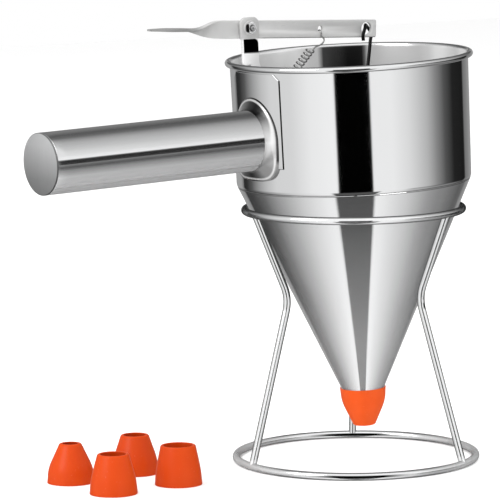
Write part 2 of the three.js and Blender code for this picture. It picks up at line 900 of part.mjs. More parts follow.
const dispenser = new THREE.Group();
dispenser.name = 'pancake_batter_dispenser';
dispenser.add(makeStand());
dispenser.add(makeHopper());
dispenser.add(spareNozzles());
dispenser.updateMatrixWorld(true);
const extent = new THREE.Box3().setFromObject(dispenser, true);
const middle = extent.getCenter(new THREE.Vector3());
dispenser.position.set(-middle.x, -middle.y, -extent.min.z);

export default dispenser;
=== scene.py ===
"""A steel batter dispenser in its wire stand, as fine surfaces with procedural finishes."""

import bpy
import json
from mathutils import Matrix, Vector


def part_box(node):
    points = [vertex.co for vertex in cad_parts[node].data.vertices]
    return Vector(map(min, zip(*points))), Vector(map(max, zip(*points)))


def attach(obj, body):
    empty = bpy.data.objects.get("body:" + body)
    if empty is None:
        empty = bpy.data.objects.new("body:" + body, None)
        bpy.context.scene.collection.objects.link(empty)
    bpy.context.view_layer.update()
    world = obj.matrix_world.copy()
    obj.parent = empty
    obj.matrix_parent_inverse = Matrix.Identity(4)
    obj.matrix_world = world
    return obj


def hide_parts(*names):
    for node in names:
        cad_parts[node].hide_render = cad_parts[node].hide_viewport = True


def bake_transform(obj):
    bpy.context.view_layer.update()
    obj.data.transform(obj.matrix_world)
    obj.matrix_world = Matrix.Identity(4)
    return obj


bl_info = {
    "name": "Batter Dispenser",
    "version": (1, 0, 0),
    "blender": (4, 5, 0),
    "location": "View3D > Sidebar > Dispenser",
    "description": "Builds a steel batter funnel with its lever valve, nozzles and wire stand",
    "category": "Add Mesh",
}

import json
import math

import bmesh
import bpy
import numpy as np
from bpy.props import FloatProperty, FloatVectorProperty, IntProperty
from mathutils import Matrix, Vector

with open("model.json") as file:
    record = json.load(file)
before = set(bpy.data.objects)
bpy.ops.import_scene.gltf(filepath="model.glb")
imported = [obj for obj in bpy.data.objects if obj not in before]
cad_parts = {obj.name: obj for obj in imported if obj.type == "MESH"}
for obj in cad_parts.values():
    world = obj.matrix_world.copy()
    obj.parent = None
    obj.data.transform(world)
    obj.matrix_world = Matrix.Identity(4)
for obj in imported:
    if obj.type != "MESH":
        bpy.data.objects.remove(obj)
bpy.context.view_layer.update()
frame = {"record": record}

JOINTS = {joint["name"]: joint for joint in frame["record"]["behaviour"]["joints"]}

MM = 0.001
MICRON = 0.000001
DEGREE = math.radians(1)
FULL_TURN = 2 * math.pi
QUARTER_TURN = math.pi / 2

# Points nearer than these are merged in a mesh, and dropped from a path
WELD_DISTANCE = 1 * MICRON
SHORTEST_STEP = 0.1 * MICRON

# The gap between pieces that are seated on each other, and the room round the bolt in its holes
FIT_GAP = 0.3 * MM
BOLT_ROOM = 0.25 * MM

# The camera's azimuth, elevation and roll in degrees, and its lens, fitted to the photograph
VIEW = (-35.46, 7.095, -0.744)
VIEW_DISTANCE = 2.4
VIEW_TARGET_HEIGHT = 0.13
VIEW_SHIFT = (-0.067373, 0.006853)
FOCAL_PIXELS = 3705.6
PHOTO_PIXELS = 500.0
SENSOR = 36.0


def length(label, about, size):
    """A size property in metres, given here in millimetres."""
    return FloatProperty(name=label, description=about, default=size * MM, unit="LENGTH", precision=5)


def angle(label, about, degrees):
    """An angle property, given here in degrees."""
    return FloatProperty(name=label, description=about, default=math.radians(degrees), subtype="ANGLE")


def colour(label, about, red, green, blue):
    """A colour property in linear values."""
    return FloatVectorProperty(
        name=label, description=about, default=(red, green, blue), subtype="COLOR", min=0, max=1
    )


class ShellSizes(bpy.types.PropertyGroup):
    """Sizes of the hopper's wall, cone and outlet, about the hopper's own axis."""

    sheet: length("Sheet", "Thickness of the steel sheet", 1)
    wall_foot: length("Wall foot", "Outer radius of the wall where it meets the cone", 75.8)
    wall_top: length("Wall top", "Outer radius of the wall under the rim", 76.5)
    foot_round: length("Foot round", "How far the wall's foot is rounded in", 1.6)
    bead: length("Bead", "Radius of the rolled rim's bead", 2)
    bead_centre: length("Bead centre", "Distance of the bead's middle from the axis", 77.8)
    rim_height: length("Rim height", "Height of the bead's middle over the seam", 79.8)
    cone_top: length("Cone top", "Outer radius of the cone at the seam", 75.4)
    cone_foot: length("Cone foot", "Outer radius of the cone's lower end", 10)
    cone_height: length("Cone height", "Height of the cone", 144.8)
    outlet: length("Outlet", "Length of the tube under the cone", 5.3)
    seam_gap: length("Seam gap", "Gap that shows as a line at a seam", 0.25)


class HandleSizes(bpy.types.PropertyGroup):
    """Sizes of the handle, its collar and its plate."""

    radius: length("Radius", "Outer radius of the handle's tube", 19.3)
    sheet: length("Sheet", "Wall of the handle's tube", 1.2)
    reach: length("Reach", "Distance of the handle's end from the hopper's axis", 238.6)
    height: length("Height", "Height of the handle's axis over the seam", 33.2)
    tilt: angle("Tilt", "How much the handle rises outwards", 0.9)
    cap_face: length("Cap face", "Thickness of the end cap's edge", 2)
    cap_crown: length("Cap crown", "How far the end cap's middle stands out over its edge", 1.1)
    collar_half: length("Collar half width", "Half the width of the collar's lip", 21.8)
    collar_rise: length("Collar rise", "How far the lip reaches over the handle's axis", 27)
    collar_dip: length("Collar dip", "How far the lip reaches under the handle's axis", 25.4)
    collar_lip: length("Collar lip", "Height of the lip's edge over the plate", 0.9)
    collar_neck: length("Collar neck", "Distance of the collar's narrow end from the hopper's axis", 83)
    collar_wall: length("Collar wall", "Thickness of the collar's narrow end", 0.45)
    plate_sheet: length("Plate sheet", "Thickness of the plate behind the handle", 1.2)
    plate_half: length("Plate half width", "Half the width of the plate", 24.4)
    plate_low: length("Plate low", "Height of the plate's lower edge over the seam", 16.9)
    plate_high: length("Plate high", "Height of the plate's upper edge over the seam", 76.9)
    plate_corner: length("Plate corner", "Size of the plate's cut upper corners", 4)


class LeverSizes(bpy.types.PropertyGroup):
    """Sizes of the bracket, the lever, the fasteners, the plunger and the return spring."""

    pivot_x: length("Pivot X", "Place of the pivot along the lever, from the hopper's axis", -75.2)
    pivot_height: length("Pivot height", "Height of the pivot over the seam", 105.5)
    bracket_front: length("Bracket front", "Distance of the bracket's front face from the middle", 2.6)
    bracket_sheet: length("Bracket sheet", "Thickness of the bracket", 2.3)
    head_half: length("Head half width", "Half the width of the bracket's head", 7)
    head_top: length("Head top", "Height of the head's upper edge over the pivot", 6.6)
    head_foot: length("Head foot", "Depth of the head's lower edge under the pivot", 7.8)
    head_corner: length("Head corner", "Size of the head's cut upper corners", 2.6)
    post_half: length("Post half width", "Half the width of the bracket's post", 6)
    post_shift: length("Post shift", "How far the post lies off the pivot", 0.5)
    tongue_inner: length("Tongue inner edge", "Place of the tongue's inner edge", -61.5)
    tongue_low: length("Tongue low", "Height of the tongue's lower end over the seam", 44.5)
    shoulder: length("Shoulder", "Drop of the tongue's slanted shoulder", 12)
    lever_sheet: length("Lever sheet", "Thickness of the lever", 2)
    lever_width: length("Lever width", "Width of the lever's strip", 11.5)
    lever_slope: angle("Lever slope", "How much the lever slopes down away from the handle", 4.7)
    lever_drop: length("Lever drop", "How far the strip's middle lies under the pivot", 1.15)
    lever_end: length("Lever end", "Distance of the lever's far end from the pivot", 102.7)
    rod_hole_at: length("Rod hole place", "Distance of the rod's hole from the pivot", 94.9)
    rod_hole: length("Rod hole", "Radius of the rod's hole", 4.1)
    spring_hole_at: length("Spring hole place", "Distance of the spring's hole from the pivot", 57.7)
    spring_hole: length("Spring hole", "Radius of the spring's upper hole", 2)
    twist_start: length("Twist start", "Where the strip starts to twist, from the pivot", 17.4)
    twist_end: length("Twist end", "Where the twist ends, from the pivot", 45.8)
    paddle_tip: length("Paddle tip", "Distance of the thumb pad's tip from the pivot", 75.2)
    tip_width: length("Tip width", "Width of the thumb pad's tip", 2.4)
    neck_width: length("Neck width", "Width of the strip where the thumb pad starts", 9.5)
    belly: length("Belly", "How much the thumb pad is wider than a plain taper", 5)
    bolt: length("Bolt", "Radius of the pivot's bolt", 2)
    hex_flat: length("Hexagon", "Width across flats of the nut and the bolt's head", 7)
    nut_height: length("Nut height", "Height of the nut", 2.2)
    bolt_head: length("Bolt head", "Height of the bolt's head", 2.6)
    washer: length("Washer", "Outer radius of the washer", 4.6)
    washer_sheet: length("Washer sheet", "Thickness of the washer", 0.5)
    rod: length("Rod", "Radius of the plunger's wire", 1.1)
    crown_rise: length("Crown rise", "Height of the hook's crown over the middle of its hole", 2.2)
    tail_reach: length("Tail reach", "How far the hook's tail lies off the crown along the lever", 4.6)
    rod_reach: length("Rod reach", "How far the rod lies off the crown along the lever", 6.8)
    hook_depth: length("Hook depth", "How far the tail and the rod lie before and behind the crown", 3.2)
    hook_drop: length("Hook drop", "Depth of the hook's lower bends under the crown", 6)
    tail_drop: length("Tail drop", "Depth of the tail's tip under the crown", 9.6)
    slant: length("Slant", "Drop of the rod's slanted part", 106)
    plug: length("Plug", "Radius of the stopper's lower end", 8.3)
    plug_length: length("Plug length", "How far the stopper reaches into the outlet", 4.2)
    plug_top: length("Plug top", "Radius of the stopper's upper edge", 13)
    plug_dome: length("Plug dome", "Height of the stopper's sloping top", 4)
    spring_wire: length("Spring wire", "Radius of the spring's wire", 0.5)
    coil: length("Coil", "Radius of the spring's coil", 2.4)
    pitch: length("Pitch", "Distance from curl to curl", 2.7)
    anchor_x: length("Anchor X", "Place of the spring's lower hole", -66.5)
    anchor_height: length("Anchor height", "Height of the spring's lower hole over the seam", 50.5)
    anchor_hole: length("Anchor hole", "Radius of the spring's lower hole", 2.2)
    hook_half: length("Spring hook", "Radius of the spring's hooks", 1.9)
    top_reach: length("Top reach", "Length of the spring's upper hook", 5)
    foot_reach: length("Foot reach", "Length of the spring's lower hook", 7)
    foot_neck: length("Foot neck", "Distance from the curls to the lower hook", 3.4)
    top_neck: length("Top neck", "Distance from the upper hole to the curls", 14.5)
    top_bow: length("Top bow", "How far the upper neck sways out", 6.8)
    coil_offset: length("Coil offset", "How far the upper curls lie beside the line of pull", 3.3)


class NozzleSizes(bpy.types.PropertyGroup):
    """Sizes of the push-on nozzles."""

    height: length("Height", "Height of a nozzle", 25)
    mouth: length("Mouth", "Outer radius of the wide mouth", 15)
    shoulder_radius: length("Shoulder radius", "Outer radius at the shoulder", 14.3)
    shoulder: length("Shoulder", "Distance of the shoulder from the mouth", 9.2)
    mouth_wall: length("Mouth wall", "Thickness of the mouth's edge", 0.5)
    grip: length("Grip", "Radius of the straight inner part that grips the outlet", 10.3)
    edge: length("Edge", "Rounding of the edges", 1.1)


class StandSizes(bpy.types.PropertyGroup):
    """Sizes of the wire stand."""

    wire: length("Wire", "Radius of the stand's wire", 2.45)
    base_ring: length("Base ring", "Radius of the lower ring", 77.9)
    top_ring: length("Top ring", "Radius of the upper ring", 70.3)
    top_height: length("Top height", "Height of the upper ring", 163.9)
    waist: length("Waist", "Distance of the legs' bends from the axis", 48.2)
    waist_height: length("Waist height", "Height of the legs' bends", 109)
    waist_bend: length("Waist bend", "Length of the bend on each side", 9)
    turn: angle("Turn", "How far the stand is turned", -5.5)
    twist: angle("Twist", "How far the legs' tops are turned against their feet", -4.5)
    legs: IntProperty(name="Legs", description="Number of legs", default=3)


class FinishColours(bpy.types.PropertyGroup):
    """Colours of the finishes, in linear values."""

    steel: colour("Steel", "Polished sheet steel", 0.90, 0.905, 0.91)
    satin: colour("Satin steel", "Brushed end cap", 0.78, 0.785, 0.79)
    strip: colour("Strip steel", "Stamped strip of the lever", 0.80, 0.80, 0.795)
    wire: colour("Wire", "Bright wire", 0.96, 0.965, 0.97)
    rod: colour("Rod", "Darker wire of the plunger", 0.015, 0.015, 0.015)
    spring: colour("Spring steel", "Drawn spring wire", 0.5, 0.5, 0.495)
    silicone: colour("Silicone", "Orange silicone of the fitted nozzle", 0.86, 0.10, 0.008)
    # Painted shade: the spares are the same silicone, given a darker copy of its colour
    shaded_spare_silicone: colour("Spare silicone", "Deeper orange of the spare nozzles", 0.568, 0.052, 0.00064)
    floor: colour("Floor", "Pale floor", 0.98, 0.98, 0.98)


GROUPS = {
    "shell_sizes": ShellSizes,
    "handle_sizes": HandleSizes,
    "lever_sizes": LeverSizes,
    "nozzle_sizes": NozzleSizes,
    "stand_sizes": StandSizes,
    "finish_colours": FinishColours,
}


# Places

def frame_from(turn, place):
    """A 4x4 matrix from a 3x3 turn and a place."""
    matrix = np.eye(4)
    matrix[:3, :3] = turn
    matrix[:3, 3] = place
    return matrix


def turned(angle, axis):
    """The 4x4 matrix of a turn about X, Y or Z."""
    return np.array(Matrix.Rotation(angle, 4, axis))


def moved(points, matrix):
    """Points of any array shape, taken through a 4x4 matrix."""
    return points @ matrix[:3, :3].T + matrix[:3, 3]


def hopper_frame():
    """The hopper's own frame: its origin on the seam and its Z along the leaning axis."""
    valve = bpy.context.scene.lever_sizes
    up = -np.array(JOINTS["nozzle_pull"]["axis"], dtype=float)
    turn = np.stack([[up[2], 0, -up[0]], [0, 1, 0], up], axis=1)
    pivot = np.array(JOINTS["lever_press"]["pos_m"], dtype=float)
    matrix = frame_from(turn, pivot - turn @ [valve.pivot_x, pivot[1], valve.pivot_height])
    matrix[1, 3] = 0
    return matrix


def handle_frame():
    """The handle's frame: its Z runs outwards along the handle and its X points up."""
    handle = bpy.context.scene.handle_sizes
    cosine, sine = math.cos(handle.tilt), math.sin(handle.tilt)
    turn = [[sine, 0, -cosine], [0, -1, 0], [cosine, 0, sine]]
    return hopper_frame() @ frame_from(turn, [0, 0, handle.height])


def pivot_frame():
    """The pivot's frame: its Z runs along the bolt, from the front to the back."""
    valve = bpy.context.scene.lever_sizes
    upright = [[1, 0, 0], [0, 0, 1], [0, -1, 0]]
    return hopper_frame() @ frame_from(upright, [valve.pivot_x, 0, valve.pivot_height])


def stack_places(valve):
    """Where each part of the stack on the bolt starts, from the front to the back."""
    washer = valve.bracket_front - FIT_GAP - valve.washer_sheet
    nut = washer - FIT_GAP - valve.nut_height
    lever = valve.bracket_front + valve.bracket_sheet + FIT_GAP
    head = lever + valve.lever_sheet + FIT_GAP
    return {"washer": washer, "nut": nut, "lever": lever, "head": head}


def lever_frame(valve):
    """The lever's frame: X along the strip's middle line from the pivot to the far end, and Z up."""
    middle = stack_places(valve)["lever"] + valve.lever_sheet / 2
    local = turned(valve.lever_slope, "Y")
    local[:3, 3] = [valve.pivot_x, middle, valve.pivot_height]
    return hopper_frame() @ local @ frame_from(np.eye(3), [0, 0, -valve.lever_drop])


def stand_frame():
    """The stand's frame: its origin on the table under the middle of the lower ring."""
    low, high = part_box("stand_base_ring")
    matrix = turned(bpy.context.scene.stand_sizes.turn, "Z")
    matrix[:2, 3] = [(low[0] + high[0]) / 2, (low[1] + high[1]) / 2]
    return matrix


def camera_axes():
    """The camera's right, up and back directions, from its azimuth, elevation and roll."""
    azimuth, elevation, roll = (math.radians(value) for value in VIEW)
    right = Vector((math.cos(azimuth), math.sin(azimuth), 0))
    level_back = Vector((math.sin(azimuth), -math.cos(azimuth), 0))
    back = level_back * math.cos(elevation) + Vector((0, 0, math.sin(elevation)))
    up = back.cross(right)
    turned_right = right * math.cos(roll) + up * math.sin(roll)
    turned_up = up * math.cos(roll) - right * math.sin(roll)
    return turned_right, turned_up, back


# Surfaces

def whole_turn(sides):
    """Angles that share a whole turn evenly."""
    return np.linspace(0, FULL_TURN, sides, endpoint=False)


def round_z(radius, turn, height):
    """Points at a radius and an angle about Z, at a height: numbers or arrays that go together."""
    return np.stack(np.broadcast_arrays(radius * np.cos(turn), radius * np.sin(turn), height), axis=-1)


def grid_faces(rows, columns, wrap_rows):
    """Quads between neighbours of a grid, numbered row by row. Columns wrap round, and rows where asked."""
    i, j = np.meshgrid(np.arange(rows if wrap_rows else rows - 1), np.arange(columns), indexing="ij")
    after_i, after_j = (i + 1) % rows, (j + 1) % columns
    corners = [i * columns + j, i * columns + after_j, after_i * columns + after_j, after_i * columns + j]
    return np.stack(corners, axis=-1).reshape(-1, 4)


def make_piece(name, points, matrix, wrap_rows=False, closed_ends=False, sharp=35):
    """A piece from a grid of points whose rows are closed loops. One face can close each end row."""
    rows, columns = points.shape[:2]
    faces = grid_faces(rows, columns, wrap_rows).tolist()
    if closed_ends:
        first_row = np.arange(columns)
        faces.append(first_row[::-1].tolist())
        faces.append((first_row + (rows - 1) * columns).tolist())
    mesh = bpy.data.meshes.new(name)
    mesh.from_pydata(moved(points.reshape(-1, 3), matrix), [], faces)
    return finished(name, mesh, sharp)


def linked(name, data):
    """A new object in the scene's collection."""
    made = bpy.data.objects.new(name, data)
    bpy.context.scene.collection.objects.link(made)
    return made


def smooth_shaded(mesh, sharp):
    """Smooth shading, with edges kept sharp past an angle in degrees."""
    mesh.polygons.foreach_set("use_smooth", np.ones(len(mesh.polygons), dtype=bool))
    mesh.set_sharp_from_angle(angle=math.radians(sharp))
    mesh.update()


def finished(name, mesh, sharp):
    """An object at the origin, with doubles merged at poles and seams, and faces outwards."""
    work = bmesh.new()
    work.from_mesh(mesh)
    bmesh.ops.remove_doubles(work, verts=work.verts, dist=WELD_DISTANCE)
    bmesh.ops.recalc_face_normals(work, faces=work.faces)
    work.to_mesh(mesh)
    work.free()
    smooth_shaded(mesh, sharp)
    return linked(name, mesh)


def revolved(profile, sides):
    """Each (radius, height) of a profile, turned about Z."""
    profile = np.asarray(profile, dtype=float)
    return round_z(profile[:, :1], whole_turn(sides), profile[:, 1:2])


def soft_corners(corners, rounds, steps=7, closed=True):
    """A path through corners, each drawn as a quadratic curve from one rounding before it to one after it.

    No rounding takes more than nearly half of a side.
    """
    most_of_side = 0.45
    corners = np.asarray(corners, dtype=float)
    rounds = np.broadcast_to(np.asarray(rounds, dtype=float), len(corners))[:, None]
    before, after = np.roll(corners, 1, axis=0) - corners, np.roll(corners, -1, axis=0) - corners
    before_length = np.linalg.norm(before, axis=1, keepdims=True)
    after_length = np.linalg.norm(after, axis=1, keepdims=True)
    start = corners + before / before_length * np.minimum(rounds, before_length * most_of_side)
    end = corners + after / after_length * np.minimum(rounds, after_length * most_of_side)
    if not closed:
        start[0], end[0] = corners[0], corners[0]
        start[-1], end[-1] = corners[-1], corners[-1]
    t = np.linspace(0, 1, steps)[None, :, None]
    curve = (1 - t) ** 2 * start[:, None] + 2 * t * (1 - t) * corners[:, None] + t**2 * end[:, None]
    return curve.reshape(-1, corners.shape[1])


def distinct(path):
    """A path without the points that repeat the one before."""
    step = np.linalg.norm(np.diff(path, axis=0), axis=1)
    return path[np.concatenate([[True], step > SHORTEST_STEP])]


def divided(path, parts):
    """A path with each stretch between its points cut into equal parts."""
    share = np.arange(parts)[None, :, None] / parts
    body = path[:-1, None] * (1 - share) + path[1:, None] * share
    return np.concatenate([body.reshape(-1, path.shape[1]), path[-1:]])


def through(points, steps):
    """A smooth path of cubics through points. Its slope at one is half the step between its neighbours."""
    points = np.asarray(points, dtype=float)
    row = np.concatenate([2 * points[:1] - points[1:2], points, 2 * points[-1:] - points[-2:-1]])
    a, b, c, d = (row[i:len(points) - 1 + i, None] for i in range(4))
    t = (np.arange(steps) / steps)[None, :, None]
    curve = b + t * (c - a) / 2 + t**2 * (a - 2.5 * b + 2 * c - d / 2) + t**3 * (1.5 * (b - c) + (d - a) / 2)
    return np.concatenate([curve.reshape(-1, points.shape[1]), points[-1:]])


def arc(centre, radius, start, end, steps):
    """Points of a circular arc in a plane, from one angle in degrees to another."""
    turn = np.radians(np.linspace(start, end, steps))
    return np.stack([centre[0] + radius * np.cos(turn), centre[1] + radius * np.sin(turn)], axis=1)


def tube(path, normals, radius, sides, closed=False):
    """Circles round a path, each of its own radius: they lie across the path and start at its normals."""
    if closed:
        tangents = np.roll(path, -1, axis=0) - np.roll(path, 1, axis=0)
    else:
        tangents = np.gradient(path, axis=0)
    tangents /= np.linalg.norm(tangents, axis=1, keepdims=True)
    side = normals - np.sum(normals * tangents, axis=1, keepdims=True) * tangents
    side /= np.linalg.norm(side, axis=1, keepdims=True)
    other = np.cross(tangents, side)
    turn = whole_turn(sides)[None, :, None]
    ring = side[:, None] * np.cos(turn) + other[:, None] * np.sin(turn)
    return path[:, None] + ring * np.reshape(radius, (-1, 1, 1))


def round_ends(path, normals, radius, bevel):
    """The path, normals and radii of a wire whose ends are rounded by a small quarter circle."""
    steps = 5
    turn = np.linspace(0, QUARTER_TURN, steps)[:, None]
    inset = bevel * (1 - np.sin(turn))
    back = bevel * (1 - np.cos(turn))
    first = (path[1] - path[0]) / np.linalg.norm(path[1] - path[0])
    last = (path[-2] - path[-1]) / np.linalg.norm(path[-2] - path[-1])
    start = path[0] + first * (bevel - back)
    end = path[-1] + last * (bevel - back)
    points = np.concatenate([start, path[1:-1], end[::-1]])
    first_normals, last_normals = (np.repeat(row, steps, 0) for row in (normals[:1], normals[-1:]))
    normals = np.concatenate([first_normals, normals[1:-1], last_normals])
    radii = np.concatenate([radius - inset[:, 0], np.full(len(path) - 2, radius), radius - inset[::-1, 0]])
    return points, normals, radii


def wire(name, path, normals, radius, matrix, sides):
    """A round wire with softly rounded ends."""
    bevel_share = 0.3
    path, normals, radii = round_ends(path, normals, radius, radius * bevel_share)
    return make_piece(name, tube(path, normals, radii, sides), matrix, closed_ends=True, sharp=50)


def smoothed(share):
    """Rises from 0 to 1 with a level start and end."""
    share = np.clip(share, 0, 1)
    return share * share * (3 - 2 * share)


# Shader expressions

class Value:
    """A socket in a shader tree. Arithmetic on it adds Math nodes."""

    def __init__(self, shader, socket):
        self.shader = shader
        self.socket = socket

    def maths(self, operation, first, second):
        return self.shader.node("ShaderNodeMath", {"operation": operation}, {0: first, 1: second})

    def __add__(self, other):
        return self.maths("ADD", self, other)

    def __radd__(self, other):
        return self.maths("ADD", other, self)

    def __sub__(self, other):
        return self.maths("SUBTRACT", self, other)

    def __rsub__(self, other):
        return self.maths("SUBTRACT", other, self)

    def __mul__(self, other):
        return self.maths("MULTIPLY", self, other)

    def __rmul__(self, other):
        return self.maths("MULTIPLY", other, self)

    def __truediv__(self, other):
        return self.maths("DIVIDE", self, other)

    def __rtruediv__(self, other):
        return self.maths("DIVIDE", other, self)

    def __pow__(self, other):
        return self.maths("POWER", self, other)

    def __abs__(self):
        return self.maths("ABSOLUTE", self, 0)


class Shader:
    """A node tree under construction."""

    def __init__(self, tree):
        self.tree = tree
        tree.nodes.clear()

    def node(self, kind, settings=None, sockets=None, output=0):
        """Adds a node, sets its settings, then gives its sockets values or links, and returns one output."""
        made = self.tree.nodes.new(kind)
        for name, value in (settings or {}).items():
            if name == "stops":
                self.set_stops(made.color_ramp, value)
            else:
                setattr(made, name, value)
        for name, value in (sockets or {}).items():
            self.feed(made.inputs[name], value)
        return Value(self, made.outputs[output]) if made.outputs else None

    def feed(self, socket, value):
        """Links a value's socket, or sets a plain number, vector or colour."""
        if isinstance(value, Value):
            self.tree.links.new(value.socket, socket)
        else:
            socket.default_value = value

    def set_stops(self, ramp, stops):
        """Gives a ramp its stops, each a place and a level of grey."""
        while len(ramp.elements) > 1:
            ramp.elements.remove(ramp.elements[-1])
        for i, (place, level) in enumerate(stops):
            element = ramp.elements[0] if i == 0 else ramp.elements.new(place)
            element.position = place
            element.color = (level, level, level, 1)

    def vector(self, operation, first, second, output=0):
        """A Vector Math node."""
        return self.node("ShaderNodeVectorMath", {"operation": operation}, {0: first, 1: second}, output)

    def dot(self, first, second):
        """The dot product of two vectors."""
        return self.vector("DOT_PRODUCT", first, second, output=1)

    def from_centre(self, centre):
        """Object coordinates, measured from a centre."""
        return self.vector("SUBTRACT", self.node("ShaderNodeTexCoord", output="Object"), centre)

    def along(self, matrix, axis):
        """How far a point lies along one axis of a frame, in metres."""
        return self.dot(self.from_centre(matrix[:3, 3]), matrix[:3, axis])

    def height(self):
        """Height over the table in metres."""
        return self.along(np.eye(4), 2)

    def turn(self, aside, ahead):
        """The angle of a direction: zero where it points straight ahead."""
        return self.node("ShaderNodeMath", {"operation": "ARCTAN2"}, {0: aside, 1: ahead})

    def noise(self, scale, detail=3, roughness=0.5, centre=(0, 0, 0)):
        """Noise between 0 and 1 in object coordinates. A scale of three numbers stretches it."""
        vector = self.vector("MULTIPLY", self.from_centre(centre), tuple(np.broadcast_to(scale, 3)))
        sockets = {"Vector": vector, "Scale": 1.0, "Detail": detail, "Roughness": roughness}
        return self.node("ShaderNodeTexNoise", None, sockets)

    def ramp(self, share, *stops):
        """A level for a share, through stops that each have a share and a level."""
        return self.node("ShaderNodeValToRGB", {"stops": stops}, {0: share})

    def graded(self, measure, unit, *stops):
        """A level for a measure, through stops that each have a place, counted in a unit, and a level."""
        first, last = stops[0][0], stops[-1][0]
        share = (measure - first * unit) / ((last - first) * unit)
        return self.ramp(share, *(((place - first) / (last - first), level) for place, level in stops))

    def mixed(self, share, first, second):
        """A colour between two."""
        return self.node("ShaderNodeMix", {"data_type": "RGBA"}, {0: share, 6: first, 7: second}, output=2)

    def soiled(self, share, tint, depth):
        """A tint that is darkened to a depth as a share grows."""
        return self.mixed(share, rgba(tint), rgba(tint, depth))

    def bump(self, height, distance):
        """A normal tilted by a height from 0 to 1, counted in a distance."""
        return self.node("ShaderNodeBump", None, {"Height": height, "Distance": distance, "Strength": 1.0})


def rgba(tint, depth=1.0):
    """A tint taken down to a depth, with full alpha."""
    return (*(part * depth for part in tint), 1.0)


def finish(name, build, constants):
    """A material with one Principled shader: constants on its sockets, and what the build function feeds."""
    material = bpy.data.materials.new(name)
    material.use_nodes = True
    shader = Shader(material.node_tree)
    surface = shader.node("ShaderNodeBsdfPrincipled", None, {**constants, **build(shader)})
    shader.node("ShaderNodeOutputMaterial", None, {"Surface": surface})
    return material


# Finishes

BLACK = (0.0, 0.0, 0.0, 1.0)
WHITE = (1.0, 1.0, 1.0, 1.0)


def sheet_detail(shader):
    """Colour, roughness and normal of mirror-polished sheet: rolling streaks, haze and fine scratches."""
    tint = bpy.context.scene.finish_colours.steel
    streaks = shader.noise((900, 900, 25), 4, 0.6)
    haze = shader.noise(22)
    scratches = shader.noise((1800, 1800, 240), 2, 0.7, centre=(0.01, 0.02, 0.03))
    scratch_lines = shader.ramp(scratches, (0.66, 0.0), (0.72, 1.0))
    rough = 0.03 + streaks * 0.03 + haze * 0.03 + scratch_lines * 0.05
    return shader.soiled(haze * 0.25, tint, 0.94), rough, shader.bump(streaks, 1.2 * MICRON)


def seam_shade_painted(shader, shade, frame_matrix):
    """A sheet's colour, with painted shade darkening both sides of the seam under the wall."""
    over_seam = shader.along(frame_matrix, 2)
    seam = shader.graded(over_seam, MM, (-0.9, 0.0), (-0.4, 0.6), (0.4, 0.6), (1, 0.0))
    return shader.mixed(seam, shade, BLACK)


def polished_sheet(shader):
    """Mirror-polished sheet that grows duller down the cone."""
    shade, rough, normal = sheet_detail(shader)
    # Painted shade along the seam under the wall
    shade = seam_shade_painted(shader, shade, hopper_frame())
    dull = shader.graded(shader.height(), MM, (40, 0.22), (76, 0.2), (108, 0.12), (160, 0.02), (180, 0.0))
    return {"Base Color": shade, "Roughness": rough, "Metallic": 1 - dull, "Normal": normal}


def plate_sheet(shader):
    """The plate's sheet: polished, with a painted line of shade at its sides and its foot."""
    handle, frame_matrix = bpy.context.scene.handle_sizes, hopper_frame()
    shade, rough, normal = sheet_detail(shader)
    over_side = abs(shader.along(frame_matrix, 1)) - handle.plate_half
    over_foot = handle.plate_low - shader.along(frame_matrix, 2)
    for over_edge in (over_side, over_foot):
        # Painted shade: a near-black line along the plate's sides and foot
        line = shader.graded(over_edge, MM, (-0.38, 0.0), (-0.28, 1.0))
        shade = shader.mixed(line, shade, (0.02, 0.02, 0.02, 1.0))
    return {"Base Color": shade, "Roughness": rough, "Normal": normal}


def wall_sheet(shader):
    """The wall's sheet: polished outside, and duller inside, with painted reflections and shade inside and a
    painted dark streak down the far side.
    """
    shell, frame_matrix = bpy.context.scene.shell_sizes, hopper_frame()
    shade, rough, normal = sheet_detail(shader)
    # Painted shade along the seam under the wall
    shade = seam_shade_painted(shader, shade, frame_matrix)
    x, y, up = (shader.along(frame_matrix, axis) for axis in range(3))
    depth = wall_outer(shell, up) - shell.sheet / 2 - (x * x + y * y) ** 0.5
    inside = shader.graded(depth, MM, (0, 0.0), (0.25, 1.0))
    # Painted reflections and shade inside the wall, by the turn round the axis; its black band is the painted
    # dark streak
    painted_tone = shader.graded(
        shader.turn(y, x), DEGREE,
        (-180, 1.0), (-2, 1.0), (4, 0.85), (9, 0.62), (15, 0.52), (30, 0.46), (43.5, 0.4),
        (45.5, 0.0), (54, 0.0), (58, 0.02), (66.5, 0.03), (68.5, 0.46), (74, 0.5), (83, 0.76),
        (90, 0.9), (105, 0.95), (180, 1.0),
    )
    return {
        "Base Color": shader.mixed(inside, shade, shader.mixed(painted_tone, BLACK, WHITE)),
        "Roughness": rough + inside * 0.15,
        "Metallic": 1 - inside * 0.5,
        "Normal": normal,
    }


